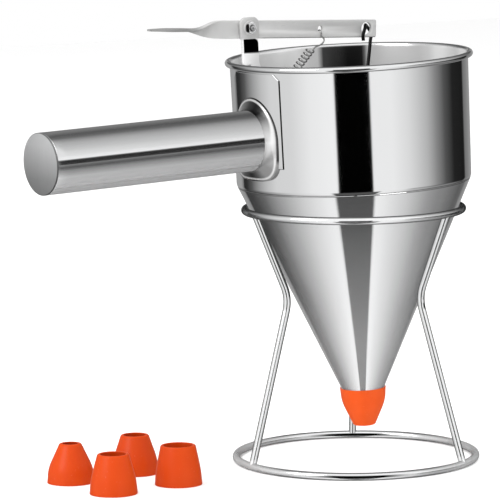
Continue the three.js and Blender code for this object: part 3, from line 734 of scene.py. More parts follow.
def collar_steel(shader):
    """The collar: spun steel, with painted reflections bright in front and dark over and under the tube, a
    painted bright lip and a painted dark edge.

    How near the lip a point is comes from the outline's own curve: an ellipse above the axis, squarer below.
    """
    matrix, handle = handle_frame(), bpy.context.scene.handle_sizes
    up, side = shader.along(matrix, 0), shader.along(matrix, 1)
    turn = shader.turn(side, up)
    # Painted reflections round the tube: bright in front, dark over and under it
    painted_tone = shader.graded(
        turn, DEGREE,
        (-180, 0.02), (-90, 0.5), (-30, 0.3), (0, 0.04), (15, 0.0), (30, 0.0), (45, 0.13), (60, 0.38),
        (75, 0.62), (90, 0.8), (105, 0.66), (120, 0.42), (135, 0.26), (150, 0.28), (165, 0.1), (180, 0.02),
    )
    edge = shader.graded(turn, DEGREE, (10, 0.0), (25, 0.9), (118, 0.9), (124, 0.0))
    wide = (side / handle.collar_half) ** 2
    round_lip = (wide + (up / handle.collar_rise) ** 2) ** 0.5
    square_lip = (wide * wide + (up / handle.collar_dip) ** 4) ** 0.25
    above = shader.graded(up, MM, (-0.5, 0.0), (0.5, 1.0))
    near = square_lip + (round_lip - square_lip) * above
    # A painted highlight along the lip, and painted shade at its outer edge
    bright = shader.ramp(near, (0.92, 0.0), (0.945, 1.0), (0.97, 1.0), (0.985, 0.0))
    dark = shader.ramp(near, (0.985, 0.0), (0.997, 1.0))
    rings = shader.noise(720, 3, 0.6)
    shade = shader.mixed(painted_tone, BLACK, WHITE)
    shade = shader.mixed(bright * 0.6, shade, WHITE)
    shade = shader.mixed(dark * edge, shade, BLACK)
    return {"Base Color": shade, "Roughness": 0.25 + rings * 0.1, "Normal": shader.bump(rings, 4 * MICRON)}


def handle_steel(shader):
    """The handle's polished tube: lines drawn along it, a little haze, and painted reflections in bands round
    it.
    """
    tint, handle = bpy.context.scene.finish_colours.steel, bpy.context.scene.handle_sizes
    lines = shader.noise((20, 700, 700), 4, 0.6)
    haze = shader.noise(30)
    rise = shader.along(handle_frame(), 0) / handle.radius * 0.5 + 0.5
    # Painted reflections: bands of light and shade round the tube
    painted_tone = shader.ramp(
        rise,
        (0.31, 1.0), (0.37, 0.76), (0.42, 0.6), (0.46, 0.36), (0.48, 0.2), (0.52, 0.4), (0.56, 0.25),
        (0.588, 0.3), (0.595, 0.95), (0.62, 0.94), (0.66, 0.84), (0.81, 0.8), (0.88, 0.86), (0.93, 0.67),
        (1.0, 0.65),
    )
    # Less metal low on the tube lets diffuse light paint a lighter band there
    dull = shader.ramp(rise, (0.0, 0.1), (0.08, 0.15), (0.15, 0.3), (0.22, 0.22), (0.3, 0.06), (1.0, 0.04))
    shade = shader.mixed(painted_tone, BLACK, shader.soiled(haze * 0.25, tint, 0.93))
    rough = 0.04 + lines * 0.04 + haze * 0.04
    normal = shader.bump(lines, 1.5 * MICRON)
    return {"Base Color": shade, "Roughness": rough, "Metallic": 1 - dull, "Normal": normal}


def bracket_steel(shader):
    """The bracket's plate: a satin head, a painted black shadow under it, and a bright side and foot."""
    tint, valve = bpy.context.scene.finish_colours.strip, bpy.context.scene.lever_sizes
    post_side = valve.pivot_x + valve.post_shift - valve.post_half
    across = shader.along(hopper_frame(), 0) - post_side
    over_foot = shader.height() - (JOINTS["lever_press"]["pos_m"][2] - valve.head_foot)
    head = shader.graded(over_foot, MM, (0.571, 0.0), (1.071, 1.0))
    inward = shader.graded(across, MM, (0.4, 0.0), (0.64, 1.0))
    corner_across = shader.graded(across - 2 * valve.post_half, MM, (-3.333, 0.0), (0, 1.0))
    corner_up = shader.graded(over_foot, MM, (-2.429, 0.0), (0.904, 1.0))
    corner = shader.ramp(corner_across**2 + corner_up**2, (0.85, 1.0), (1.0, 0.0))
    # Painted shadow: black, mirror-like shade under the lever, with its upper corner rounded off
    patch = shader.graded(over_foot, MM, (-8.629, 0.0), (-7.629, 1.0), (0.571, 1.0), (1.071, 0.0))
    shadow = patch * inward * corner
    cloud = shader.noise(160, 3, 0.55)
    shade = shader.mixed(head, (0.95, 0.95, 0.95, 1.0), rgba(tint, 0.78))
    shade = shader.mixed(cloud * 0.1, shade, (0.6, 0.6, 0.6, 1.0))
    return {
        "Base Color": shader.mixed(shadow, shade, BLACK),
        "Roughness": 0.14 + cloud * 0.06 + head * 0.25,
        "Metallic": 0.3 + head * 0.15 + shadow * 0.7,
        "Normal": shader.bump(cloud, 5 * MICRON),
    }


def dark_rod(shader):
    """The plunger's rod: darker drawn wire with a slight unevenness."""
    uneven = shader.noise(150)
    drawn = shader.noise((900, 900, 30), 3, 0.6)
    shade = shader.soiled(drawn * 0.5, bpy.context.scene.finish_colours.rod, 0.7)
    rough = 0.14 + uneven * 0.1 + drawn * 0.05
    return {"Base Color": shade, "Roughness": rough, "Normal": shader.bump(drawn, 6 * MICRON)}


def brushed_strip(shader):
    """The lever's stamped strip: fine lines along it, painted shade darker toward the thumb pad, and a
    painted dark line of shade along its lower edge.
    """
    tint, valve = bpy.context.scene.finish_colours.strip, bpy.context.scene.lever_sizes
    matrix = lever_frame(valve)
    from_tip = shader.along(matrix, 0) + valve.paddle_tip
    over_foot = shader.along(matrix, 2) + valve.lever_width / 2
    # Painted shade: darker toward the thumb pad
    painted_tone = shader.graded(
        from_tip, MM,
        (0, 0.42), (26.667, 0.44), (33.333, 0.5), (40, 0.8), (63.333, 0.95), (83.333, 1.0),
    )
    # Painted shade along the strip's lower edge
    line = shader.graded(over_foot, MM, (0.3, 1.0), (0.55, 0.0))
    line = line * shader.graded(from_tip, MM, (83.333, 0.0), (88.333, 0.85))
    lines = shader.noise((60, 2600, 2600), 3, 0.65)
    dull = shader.noise(60, 4, 0.55)
    shade = shader.mixed(painted_tone * (1 - line), BLACK, shader.soiled(dull, tint, 0.86))
    rough = 0.2 + lines * 0.14 + dull * 0.08
    return {"Base Color": shade, "Roughness": rough, "Normal": shader.bump(lines, 6 * MICRON)}


def satin_cap(shader):
    """Satin disc: fine upright brush lines, with painted shade darker toward its foot and a painted dark rim.
    """
    tint, matrix = bpy.context.scene.finish_colours.satin, handle_frame()
    radius = bpy.context.scene.handle_sizes.radius
    up, side = shader.along(matrix, 0) / radius, shader.along(matrix, 1) / radius
    # Painted shade: darker toward the foot, and a dark rim
    painted_tone = shader.ramp(up * 0.5 + 0.5, (0.0, 0.4), (0.25, 0.5), (0.5, 0.7), (0.8, 0.95), (1.0, 1.0))
    painted_tone = painted_tone * shader.ramp(up * up + side * side, (0.94, 1.0), (0.97, 0.3))
    lines = shader.noise((1500, 1500, 40), 3, 0.6)
    cloud = shader.noise(45)
    shade = shader.mixed(painted_tone, BLACK, shader.soiled(lines, tint, 0.88))
    rough = 0.3 + lines * 0.12 + cloud * 0.06
    return {"Base Color": shade, "Roughness": rough, "Normal": shader.bump(lines, 8 * MICRON)}


def bright_wire(shader):
    """The stand's wire: nearly a mirror, uneven from drawing.

    As in the photograph, the lower ring is duller at both ends, which paints them lighter, and has a painted
    black reflection in its middle.
    """
    tint, matrix = bpy.context.scene.finish_colours.wire, stand_frame()
    matrix[:3, 0] = camera_axes()[0]
    aside, up = shader.along(matrix, 0), shader.height()
    # Painted light: the ends, measured across the view, are made duller so that diffuse light shows on them
    ends = shader.graded(aside, MM, (-80, 0.36), (-68, 0.3), (-46, 0.0), (46, 0.0), (68, 0.3), (80, 0.36))
    dull = ends * shader.graded(up, MM, (6, 1.0), (8, 0.0)) + 0.04
    # A painted black reflection across the lower ring's middle
    streak = shader.graded(aside, MM, (-36, 0.0), (-16, 1.0), (16, 1.0), (36, 0.0))
    streak = streak * shader.graded(up, MM, (1.6, 0.0), (2.1, 1.0), (3.1, 1.0), (3.6, 0.0))
    uneven = shader.noise(130)
    fine = shader.noise(900, 2, 0.6)
    shade = shader.mixed(streak, shader.soiled(uneven * 0.4, tint, 0.9), BLACK)
    rough = 0.05 + uneven * 0.06 + fine * 0.03
    normal = shader.bump(uneven, 20 * MICRON)
    return {"Base Color": shade, "Roughness": rough, "Metallic": 1 - dull, "Normal": normal}


def nut_steel(shader):
    """The nut and the bolt: bright steel, with a painted dark middle, painted shade in a ring where they meet
    and on the facets of one side.
    """
    matrix = pivot_frame()
    aside, down = shader.along(matrix, 0), shader.along(matrix, 1)
    reach = (aside * aside + down * down) ** 0.5
    # Painted reflection and shade: a dark middle, a bright ring, and a dark ring where nut and bolt meet
    ring = shader.graded(reach, MM, (0, 0.2), (0.8, 0.5), (1.4, 0.9), (1.7, 0.1), (2.1, 0.1), (2.3, 1.0))
    # Painted shade on the facets of one side
    facets = shader.graded(aside, MM, (-2.6, 0.0), (-2.2, 1.0))
    uneven = shader.noise(400)
    shade = shader.mixed(ring * facets, BLACK, rgba(bpy.context.scene.finish_colours.wire))
    return {"Base Color": shade, "Roughness": 0.12 + uneven * 0.1, "Normal": shader.bump(uneven, 10 * MICRON)}


def spring_steel(shader):
    """Drawn spring wire: greyer, with darker stains."""
    stain = shader.noise(240, 4, 0.6)
    shade = shader.soiled(stain, bpy.context.scene.finish_colours.spring, 0.6)
    return {"Base Color": shade, "Roughness": 0.08 + stain * 0.14, "Normal": shader.bump(stain, 10 * MICRON)}


def orange_silicone(shader):
    """Glossy moulded silicone, with painted shade that makes the spares deeper: soft cloudiness, fine skin
    and a few dust specks.
    """
    colours = bpy.context.scene.finish_colours
    # Painted shade darkens the spare nozzles on the table
    spare = shader.graded(shader.along(np.eye(4), 0), MM, (-15, 1.0), (-5, 0.0))
    cloud = shader.noise(70)
    skin = shader.noise(1400, 3, 0.6)
    dust = shader.ramp(shader.noise(800, 1, 0.4), (0.72, 0.0), (0.76, 1.0))
    shade = shader.mixed(spare, shader.soiled(cloud, colours.silicone, 0.8), rgba(colours.shaded_spare_silicone))
    shade = shader.mixed(dust * 0.05, shade, (0.9, 0.6, 0.5, 1.0))
    rough = 0.26 + cloud * 0.12 + skin * 0.06
    return {"Base Color": shade, "Roughness": rough, "Normal": shader.bump(skin, 12 * MICRON)}


def pale_floor(shader):
    """The floor's even, faintly mottled white."""
    grain = shader.noise(30)
    tint = rgba(bpy.context.scene.finish_colours.floor)
    return {"Base Color": shader.mixed(grain * 0.1, tint, (0.95, 0.95, 0.95, 1.0))}


FINISHES = {
    "polished": ("Polished sheet", polished_sheet, {}),
    "plate": ("Plate sheet", plate_sheet, {"Metallic": 1.0}),
    "wall": ("Wall sheet", wall_sheet, {}),
    "collar": ("Collar steel", collar_steel, {"Metallic": 0.5}),
    "handle": ("Handle steel", handle_steel, {}),
    "bracket": ("Bracket steel", bracket_steel, {}),
    "rod": ("Dark rod", dark_rod, {"Metallic": 1.0}),
    "satin": ("Satin steel", satin_cap, {"Metallic": 0.75}),
    "strip": ("Strip steel", brushed_strip, {"Metallic": 0.42}),
    "wire": ("Bright wire", bright_wire, {"Specular Tint": BLACK}),
    "nut": ("Nut steel", nut_steel, {"Metallic": 0.7}),
    "spring": ("Spring steel", spring_steel, {"Metallic": 1.0}),
    "silicone": ("Orange silicone", orange_silicone, {
        "Subsurface Weight": 0.12, "Subsurface Scale": 0.004, "Specular IOR Level": 0.2,
    }),
}
made_finishes = {}


def painted(piece, look, node=None):
    """Gives a piece its finish, hides the CAD node that it stands for, and keeps the piece out of
    reflections.
    """
    if look not in made_finishes:
        made_finishes[look] = finish(*FINISHES[look])
    piece.data.materials.append(made_finishes[look])
    if node:
        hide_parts(node)
    piece.visible_glossy = False
    return piece


def dress(piece, look, body, node=None):
    """A painted piece that moves with a body."""
    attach(painted(piece, look, node), body)


# Hopper shell

def wall_outer(shell, height):
    """Outer radius of the wall at a height over the seam."""
    return shell.wall_foot + (shell.wall_top - shell.wall_foot) * height / shell.rim_height


def cone_slope(shell):
    """How much the cone's radius grows for each unit of height."""
    return (shell.cone_top - shell.cone_foot) / shell.cone_height


def cone_thickness(shell, sheet):
    """How thick a sheet on the cone is, measured level."""
    return sheet * math.hypot(1, cone_slope(shell))


def build_wall(shell):
    """The wall's sheet as a closed profile turned about the axis: a turned-in foot and a rolled bead."""
    foot = shell.foot_round
    straight_from = foot * 2
    inside_top = shell.rim_height - shell.bead * 0.4
    corners = [
        [shell.wall_foot - shell.sheet, 0],
        [shell.wall_foot - shell.sheet / 2, 0],
        [wall_outer(shell, foot), foot],
        [wall_outer(shell, straight_from), straight_from],
    ]
    outside = soft_corners(corners, [0, foot * 0.3, foot * 0.5, 0], closed=False)
    bead = arc((shell.bead_centre, shell.rim_height), shell.bead, -126, 168, 40)
    inside = [[wall_outer(shell, height) - shell.sheet, height] for height in (inside_top, straight_from)]
    profile = revolved(np.concatenate([outside, bead, inside]), 256)
    piece = make_piece("wall_sheet", profile, hopper_frame(), wrap_rows=True, sharp=60)
    dress(piece, "wall", "hopper", "hopper_wall")


def build_cone(shell):
    """The cone's sheet: straight sides, one sheet thick."""
    thick = cone_thickness(shell, shell.sheet)
    top = -shell.seam_gap
    upper = shell.cone_top + cone_slope(shell) * top
    corners = [
        [shell.cone_foot - thick, -shell.cone_height],
        [shell.cone_foot, -shell.cone_height],
        [upper, top],
        [upper - thick, top],
    ]
    profile = revolved(soft_corners(corners, shell.sheet * 0.3, 5), 256)
    piece = make_piece("cone_sheet", profile, hopper_frame(), wrap_rows=True, sharp=60)
    dress(piece, "polished", "hopper", "hopper_cone")


def build_outlet(shell):
    """The outlet's tube with a rolled lower edge."""
    top = -shell.cone_height - shell.seam_gap
    low = top - shell.outlet
    inner = shell.cone_foot - shell.sheet
    corners = [[inner, low], [shell.cone_foot, low], [shell.cone_foot, top], [inner, top]]
    profile = revolved(soft_corners(corners, shell.sheet * 0.4, 5), 96)
    piece = make_piece("outlet_stub", profile, hopper_frame(), wrap_rows=True, sharp=60)
    dress(piece, "polished", "hopper", "outlet_tube")


# Handle

def build_plate(shell, handle):
    """The plate behind the handle: rows up the wall, each a round-edged strip bent about the wall's axis."""
    edge = handle.plate_sheet * 0.35
    half_depth = handle.plate_sheet / 2
    across = np.linspace(-1, 1, 49)
    flat = np.ones(len(across))
    bend = np.linspace(-QUARTER_TURN, QUARTER_TURN, 9)[1:-1]
    side = np.concatenate([across, np.ones(len(bend)), across[::-1], -np.ones(len(bend))])
    depth = np.concatenate([flat, np.sin(bend[::-1]), -flat, np.sin(bend)])
    bulge = np.concatenate([flat * 0, np.cos(bend), flat * 0, -np.cos(bend)])
    edge_shares = np.array([0, 0.1, 0.5])
    corner_start = handle.plate_high - handle.plate_corner
    rows = np.concatenate([
        handle.plate_low + edge * edge_shares,
        np.linspace(handle.plate_low + edge, corner_start, 20),
        np.linspace(corner_start, handle.plate_high - edge, 6)[1:],
        handle.plate_high - edge * edge_shares[::-1],
    ])
    from_end = np.minimum(rows - handle.plate_low, handle.plate_high - rows)
    softness = np.sqrt(1 - (1 - np.clip(from_end / edge, 0, 1)) ** 2)
    half = handle.plate_half - np.clip(rows - corner_start, 0, None)
    y = (half - edge)[:, None] * side + edge * bulge * softness[:, None]
    middle = wall_outer(shell, rows) + shell.seam_gap + half_depth
    thick = half_depth - edge * 0.5 * (1 - softness)
    radius = middle[:, None] + thick[:, None] * depth
    radius[0], radius[-1] = middle[0], middle[-1]
    x = -np.sqrt(radius**2 - y**2)
    points = np.stack([x, y, np.broadcast_to(rows[:, None], x.shape)], axis=-1)
    piece = make_piece("handle_backing_plate", points, hopper_frame(), sharp=40)
    dress(piece, "plate", "hopper", "handle_plate")


def saddle(shell, handle, up, across, lift):
    """How far out along the handle a skin over the wall lies, at places round the handle's axis."""
    sine, cosine = math.sin(handle.tilt), math.cos(handle.tilt)
    height = handle.height + up * cosine + shell.wall_top * sine
    skin = wall_outer(shell, height) + lift
    return (np.sqrt(skin**2 - across**2) + up * sine) / cosine


def lip_outline(handle, sides):
    """The collar's outline as heights and widths: an ellipse above the axis, and below it a squarer curve.

    At an angle t, across = w cos(t)^k and up = h sin(t)^k, where k is 1 above and 1/2 below.
    """
    turn = whole_turn(sides)
    cosine, sine = np.cos(turn), np.sin(turn)
    power = np.where(sine > 0, 1, 0.5)
    across = np.sign(cosine) * handle.collar_half * np.abs(cosine) ** power
    reach = np.where(sine > 0, handle.collar_rise, handle.collar_dip)
    return np.sign(sine) * reach * np.abs(sine) ** power, across


def build_collar(shell, handle):
    """The collar: a trumpet from its neck on the tube to its lip, and a skirt that rests on plate and wall.

    From the lip (s = 0) to the neck (s = 1) a point draws in by 1 - (1 - s)^2 of the way and moves out by s.
    """
    sides, edge, tube_room, rest_gap = 192, 0.3 * MM, 0.08 * MM, 0.12 * MM
    plate_lift = shell.seam_gap + handle.plate_sheet
    up, across = lip_outline(handle, sides)
    size = np.hypot(up, across)
    neck = (handle.radius + handle.collar_wall) / size
    bore = (handle.radius + tube_room) / size
    reach = shell.wall_top + plate_lift + handle.collar_lip
    lip_out = np.sqrt(reach**2 - across**2)
    s = np.linspace(1, 0, 30)[:, None]
    scale = 1 + (neck - 1) * (1 - (1 - s) ** 2)
    out = lip_out + (handle.collar_neck - lip_out) * s
    bend = np.linspace(0, QUARTER_TURN, 5)[1:, None]
    edge_scale = 1 + edge * np.sin(bend) / size
    edge_out = lip_out - edge * (1 - np.cos(bend))
    on_plate = (handle.height + up > handle.plate_low) & (np.abs(across) < handle.plate_half)
    rest = saddle(shell, handle, up, across, np.where(on_plate, plate_lift, 0) + rest_gap)
    inner_rest = saddle(shell, handle, up * bore, across * bore, plate_lift)
    neck_out = np.full(sides, handle.collar_neck)
    scales = np.concatenate([[bore], scale, edge_scale, [1 + edge / size, bore]])
    outs = np.concatenate([[neck_out], out, edge_out, [rest, inner_rest]])
    points = np.stack([scales * up, scales * across, outs], axis=-1)
    piece = make_piece("handle_flared_collar", points, handle_frame(), wrap_rows=True, sharp=50)
    dress(piece, "collar", "hopper", "handle_collar")


def build_tube(shell, handle):
    """The handle's tube: its inner end follows the plate, and its outer end meets the cap."""
    sides, lengths, edge = 160, 25, 0.25 * MM
    turn = whole_turn(sides)
    end = handle.reach - handle.cap_face - shell.seam_gap
    inner = handle.radius - handle.sheet
    up, across = handle.radius * np.cos(turn), handle.radius * np.sin(turn)
    start = saddle(shell, handle, up, across, shell.seam_gap + handle.plate_sheet)
    share = np.linspace(0, 1, lengths)[:, None]
    outer_run = start * (1 - share) + (end - edge) * share
    rounding = np.linspace(0, QUARTER_TURN, 5)[1:]
    corner_out = np.repeat((end - edge + edge * np.sin(rounding))[:, None], sides, 1)
    corner_radius = handle.radius - edge + edge * np.cos(rounding)
    out = np.concatenate([outer_run, corner_out, [np.full(sides, end), start]])
    radii = np.concatenate([np.full(lengths, handle.radius), corner_radius, [inner, inner]])
    points = round_z(radii[:, None], turn, out)
    piece = make_piece("handle_grip_tube", points, handle_frame(), wrap_rows=True, sharp=60)
    dress(piece, "handle", "hopper", "handle_tube")


def build_cap(shell, handle):
    """The end cap: a slightly crowned disc with a softly rounded edge, and a spigot in the tube."""
    rings, spigot_depth = 12, 8 * MM
    face = handle.reach - handle.cap_face
    side = handle.reach - handle.cap_crown
    spigot = handle.radius - handle.sheet - shell.seam_gap
    low = face - spigot_depth
    body = [[0, low], [spigot, low], [spigot, face], [handle.radius, face], [handle.radius, side]]
    share = np.linspace(0.97, 0, rings)[:, None]
    crown = np.concatenate([handle.radius * share, handle.reach - handle.cap_crown * share**2], axis=1)
    rounds = np.array([0, 0.4, 0.1, 0.3, 0.5] + [0.2] * rings) * MM
    profile = revolved(soft_corners(np.concatenate([body, crown]), rounds, 7, closed=False), 160)
    piece = make_piece("handle_cap_disc", profile, handle_frame(), sharp=50)
    dress(piece, "satin", "hopper", "handle_end_cap")


# Bracket and fasteners

def hexagon(turn, flat):
    """How far a hexagon's edge lies from its middle: half its width over the cosine from the nearest flat."""
    sixth = FULL_TURN / 6
    return flat / 2 / np.cos((turn + sixth / 2) % sixth - sixth / 2)


def hex_piece(name, bore, flat, low, high, chamfer_low, chamfer_high):
    """A hexagonal ring whose ends are turned down to a circle, as a loop of rows round the middle."""
    turn, bevel, circle_share, chamfer = whole_turn(144), 0.15 * MM, 0.96, 30 * DEGREE
    outline = hexagon(turn, flat)
    circle = flat / 2 * circle_share
    fall = np.clip(outline - circle, 0, None) * math.tan(chamfer)
    rows = [
        (bore, low + bevel),
        (bore + bevel, low),
        (circle, low),
        (outline, low + fall * chamfer_low),
        (outline, high - fall * chamfer_high),
        (circle, high),
        (bore + bevel, high),
        (bore, high - bevel),
    ]
    points = np.stack([round_z(radius, turn, height) for radius, height in rows])
    return make_piece(name, points, pivot_frame(), wrap_rows=True, sharp=20)


def build_nut(valve):
    """The pivot's nut, in front of the washer."""
    low = stack_places(valve)["nut"]
    bore = valve.bolt + 0.1 * MM
    nut = hex_piece("pivot_hex_nut", bore, valve.hex_flat, low, low + valve.nut_height, 1, 1)
    dress(nut, "nut", "hopper", "pivot_nut")


def build_washer(valve):
    """The washer: a flat ring with softened edges."""
    low = stack_places(valve)["washer"]
    high, bore = low + valve.washer_sheet, valve.bolt + FIT_GAP
    corners = [[bore, low], [valve.washer, low], [valve.washer, high], [bore, high]]
    profile = revolved(soft_corners(corners, 0.15 * MM, 4), 96)
    washer = make_piece("pivot_flat_washer", profile, pivot_frame(), wrap_rows=True, sharp=60)
    dress(washer, "strip", "hopper", "pivot_washer")


def build_bolt(valve):
    """The bolt: a hexagonal head with a set-in centre, and a shank with ridges in place of its thread."""
    places = stack_places(valve)
    low = places["head"]
    high, middle = low + valve.bolt_head, low + valve.bolt_head * 0.5
    head = hex_piece("pivot_bolt_head", valve.bolt * 0.5, valve.hex_flat, low, high, 0, 1)
    dress(head, "nut", "hopper", "pivot_bolt")

    ridges, ridge_depth, tip_length, stand_out = 9, 0.12 * MM, 0.5 * MM, 1 * MM
    tip = places["nut"] - stand_out
    thread_start = tip + tip_length
    threads = np.arange(0, ridges, 0.25)
    ridge = ridge_depth * (np.abs((threads % 1) - 0.5) * 2)
    height = thread_start + threads / ridges * (places["washer"] - thread_start)
    tip_shares = np.array([[0, 0.15], [0.35, 0.05], [0.78, 0], [0.95, 0.3]])
    start = tip_shares * [valve.bolt, MM] + [0, tip]
    inside = low + valve.bolt_head * 0.6
    thread = np.stack([valve.bolt - ridge, height], axis=1)
    profile = np.concatenate([start, thread, [[valve.bolt, inside], [0, inside]]])
    shank = make_piece("pivot_bolt_shank", revolved(profile, 64), pivot_frame(), sharp=40)
    dress(shank, "nut", "hopper")

    button, crown, set_in = valve.bolt * 0.6, 0.05 * MM, 0.25 * MM
    profile = [[0, high - set_in], [button, high - crown], [button, middle], [0, middle]]
    centre = make_piece("pivot_bolt_centre", revolved(profile, 64), pivot_frame(), sharp=40)
    dress(centre, "nut", "hopper")


def flat_plate(name, outline, holes, front, thickness, bevel):
    """A sheet-metal plate: a filled outline with round holes and softened edges, in the hopper's X and Z."""
    curve = bpy.data.curves.new(name, "CURVE")
    curve.dimensions = "2D"
    curve.fill_mode = "BOTH"
    curve.extrude = thickness / 2 - bevel
    curve.bevel_depth = bevel
    curve.bevel_resolution = 2
    curve.offset = -bevel
    rims = [arc((x, z), radius, 0, 360, 49)[:-1] for x, z, radius in holes]
    for loop in (outline, *rims):
        spline = curve.splines.new("POLY")
        spline.points.add(len(loop) - 1)
        flat = np.concatenate([loop, np.zeros((len(loop), 1)), np.ones((len(loop), 1))], axis=1)
        spline.points.foreach_set("co", flat.ravel())
        spline.use_cyclic_u = True
    holder = linked(name, curve)
    shape = bpy.data.meshes.new_from_object(holder.evaluated_get(bpy.context.evaluated_depsgraph_get()))
    bpy.data.objects.remove(holder)
    bpy.data.curves.remove(curve)
    upright = frame_from([[1, 0, 0], [0, 0, -1], [0, 1, 0]], [0, front + thickness / 2, 0])
    shape.transform(Matrix(hopper_frame() @ upright))
    shape.name = name
    return finished(name, shape, 25)


def build_bracket(shell, valve):
    """The bracket: a plate on edge with a corner-cut head, notched over the rim, and a tongue to the spring.

    Each corner has a place and a rounding in millimetres.
    """
    rim_top = shell.rim_height + shell.bead
    over_rim = rim_top + FIT_GAP
    middle = valve.pivot_x + valve.post_shift
    post, half, corner = valve.post_half, valve.head_half, valve.head_corner
    low, high = valve.pivot_height - valve.head_foot, valve.pivot_height + valve.head_top
    flare_top = low + 2 * MM
    inside, inside_low = (
        shell.sheet + FIT_GAP - wall_outer(shell, height) for height in (shell.rim_height, valve.tongue_low)
    )
    corners = np.array([
        (inside_low, valve.tongue_low, 0.5),
        (valve.tongue_inner, valve.tongue_low, 2.5),
        (valve.tongue_inner, rim_top - valve.shoulder, 4),
        (middle + post, over_rim, 3),
        (middle + post, low, 1),
        (middle + half, flare_top, 1),
        (middle + half, high - corner, 1.5),
        (middle + half - corner, high, 1.5),
        (middle - half + corner, high, 1.5),
        (middle - half, high - corner, 1.5),
        (middle - half, flare_top, 1),
        (middle - post, low, 1),
        (middle - post, over_rim, 2),
        (inside, over_rim, 0.5),
    ])
    outline = soft_corners(corners[:, :2], corners[:, 2] * MM, 6)
    holes = [
        (valve.pivot_x, valve.pivot_height, valve.bolt + BOLT_ROOM),
        (valve.anchor_x, valve.anchor_height, valve.anchor_hole),
    ]
    bevel = 0.25 * MM
    name = "pivot_bracket_plate"
    piece = flat_plate(name, outline, holes, valve.bracket_front, valve.bracket_sheet, bevel)
    dress(piece, "bracket", "hopper", "pivot_bracket")


# Lever

def strip_sections(along, widths, thicknesses, turns, edge):
    """Rounded rectangles across X: flat sides in Y and width in Z, each turned about the strip's middle."""
    bend = np.linspace(0, QUARTER_TURN, 5)
    turn = (np.arange(4)[:, None] * QUARTER_TURN + bend).ravel()
    sign = np.repeat(np.array([[1, 1], [-1, 1], [-1, -1], [1, -1]]), len(bend), axis=0)
    flat = sign[:, 0] * (thicknesses / 2 - edge)[:, None] + edge[:, None] * np.cos(turn)
    wide = sign[:, 1] * (widths / 2 - edge)[:, None] + edge[:, None] * np.sin(turn)
    cosine, sine = np.cos(turns)[:, None], np.sin(turns)[:, None]
    y = flat * cosine - wide * sine
    z = flat * sine + wide * cosine
    return np.stack([np.broadcast_to(along[:, None], y.shape), y, z], axis=-1)


def build_lever(valve):
    """The lever: a strip on edge with three holes, twisted a quarter turn into a leaf-shaped thumb pad."""
    steps, end_round, edge_round = 40, 1 * MM, 0.3 * MM
    tip_share, thin_share, full_share, belly_power = 0.07, 0.62, 0.6, 0.8
    pad = np.linspace(0, 1, steps)
    pad_along = -valve.paddle_tip + (valve.paddle_tip - valve.twist_end) * pad
    taper = valve.tip_width + (valve.neck_width - valve.tip_width) * pad
    tip_round = np.sqrt(np.clip(1 - (1 - np.clip(pad / tip_share, 0, 1)) ** 2, 0.02, 1))
    pad_width = (taper + valve.belly * np.sin(np.pi * pad**belly_power)) * tip_round
    thickening = thin_share + (1 - thin_share) * smoothed(pad / full_share)
    pad_thick = valve.lever_sheet * thickening * (0.4 + 0.6 * tip_round)
    twist = np.linspace(0, 1, steps)[1:]
    twist_along = -valve.twist_end + (valve.twist_end - valve.twist_start) * twist
    twist_width = valve.neck_width + (valve.lever_width - valve.neck_width) * twist
    end = np.linspace(0, QUARTER_TURN, 8)
    end_along = valve.lever_end - end_round + end_round * np.sin(end)
    end_width = valve.lever_width - 2 * end_round * (1 - np.cos(end))
    along = np.concatenate([pad_along, twist_along, end_along])
    widths = np.concatenate([pad_width, twist_width, end_width])
    thick = np.concatenate([pad_thick, np.full(len(twist) + len(end), valve.lever_sheet)])
    turns = QUARTER_TURN * np.concatenate([np.ones(steps), 1 - smoothed(twist), np.zeros(len(end))])
    edge = np.minimum(edge_round, np.minimum(thick, widths) * 0.4)
    points = strip_sections(along, widths, thick, turns, edge)
    piece = make_piece("lever_strip", points, lever_frame(valve), closed_ends=True, sharp=40)
    drill(piece, valve)
    dress(piece, "strip", "lever", "lever")


def drill(piece, valve):
    """Cuts the pivot's hole, the rod's and the spring's through the strip, and softens their edges."""
    matrix = lever_frame(valve) @ turned(QUARTER_TURN, "X")
    reach = valve.lever_sheet * 2
    for along, up, radius in (
        (0, valve.lever_drop, valve.bolt + BOLT_ROOM),
        (valve.rod_hole_at, 0, valve.rod_hole),
        (valve.spring_hole_at, 0, valve.spring_hole),
    ):
        pin = revolved([[radius, -reach], [radius, reach]], 64) + np.array([along, up, 0])
        cutter = make_piece("hole_cutter", pin, matrix, closed_ends=True)
        hole = piece.modifiers.new("Hole", "BOOLEAN")
        hole.operation = "DIFFERENCE"
        hole.object = cutter
        hole.solver = "EXACT"
        apply_modifiers(piece)
        bpy.data.objects.remove(cutter)
    softened = piece.modifiers.new("Edges", "BEVEL")
    softened.width = 0.18 * MM
    softened.segments = 2
    softened.limit_method = "ANGLE"
    softened.angle_limit = math.radians(60)
    apply_modifiers(piece)
    smooth_shaded(piece.data, 30)


def apply_modifiers(piece):
    """Replaces the piece's mesh by the one that its modifiers make."""
    graph = bpy.context.evaluated_depsgraph_get()
    mesh = bpy.data.meshes.new_from_object(piece.evaluated_get(graph))
    old = piece.data
    piece.modifiers.clear()
    piece.data = mesh
    mesh.name = piece.name
    bpy.data.meshes.remove(old)


# Return spring

def hook_line(along, across, bite, half, reach):
    """A hook's points and normals: a short leg, a half circle that bites in the hole, and a long leg."""
    bend = np.linspace(0, math.pi, 9)[:, None]
    crown = along * (bite + half * (1 - np.sin(bend))) + across * half * np.cos(bend)
    crown_normals = across * np.cos(bend) - along * np.sin(bend)
    short, long = along * reach / 2 + across * half, along * reach - across * half
    return np.concatenate([[short], crown, [long]]), np.concatenate([[across], crown_normals, [-across]])


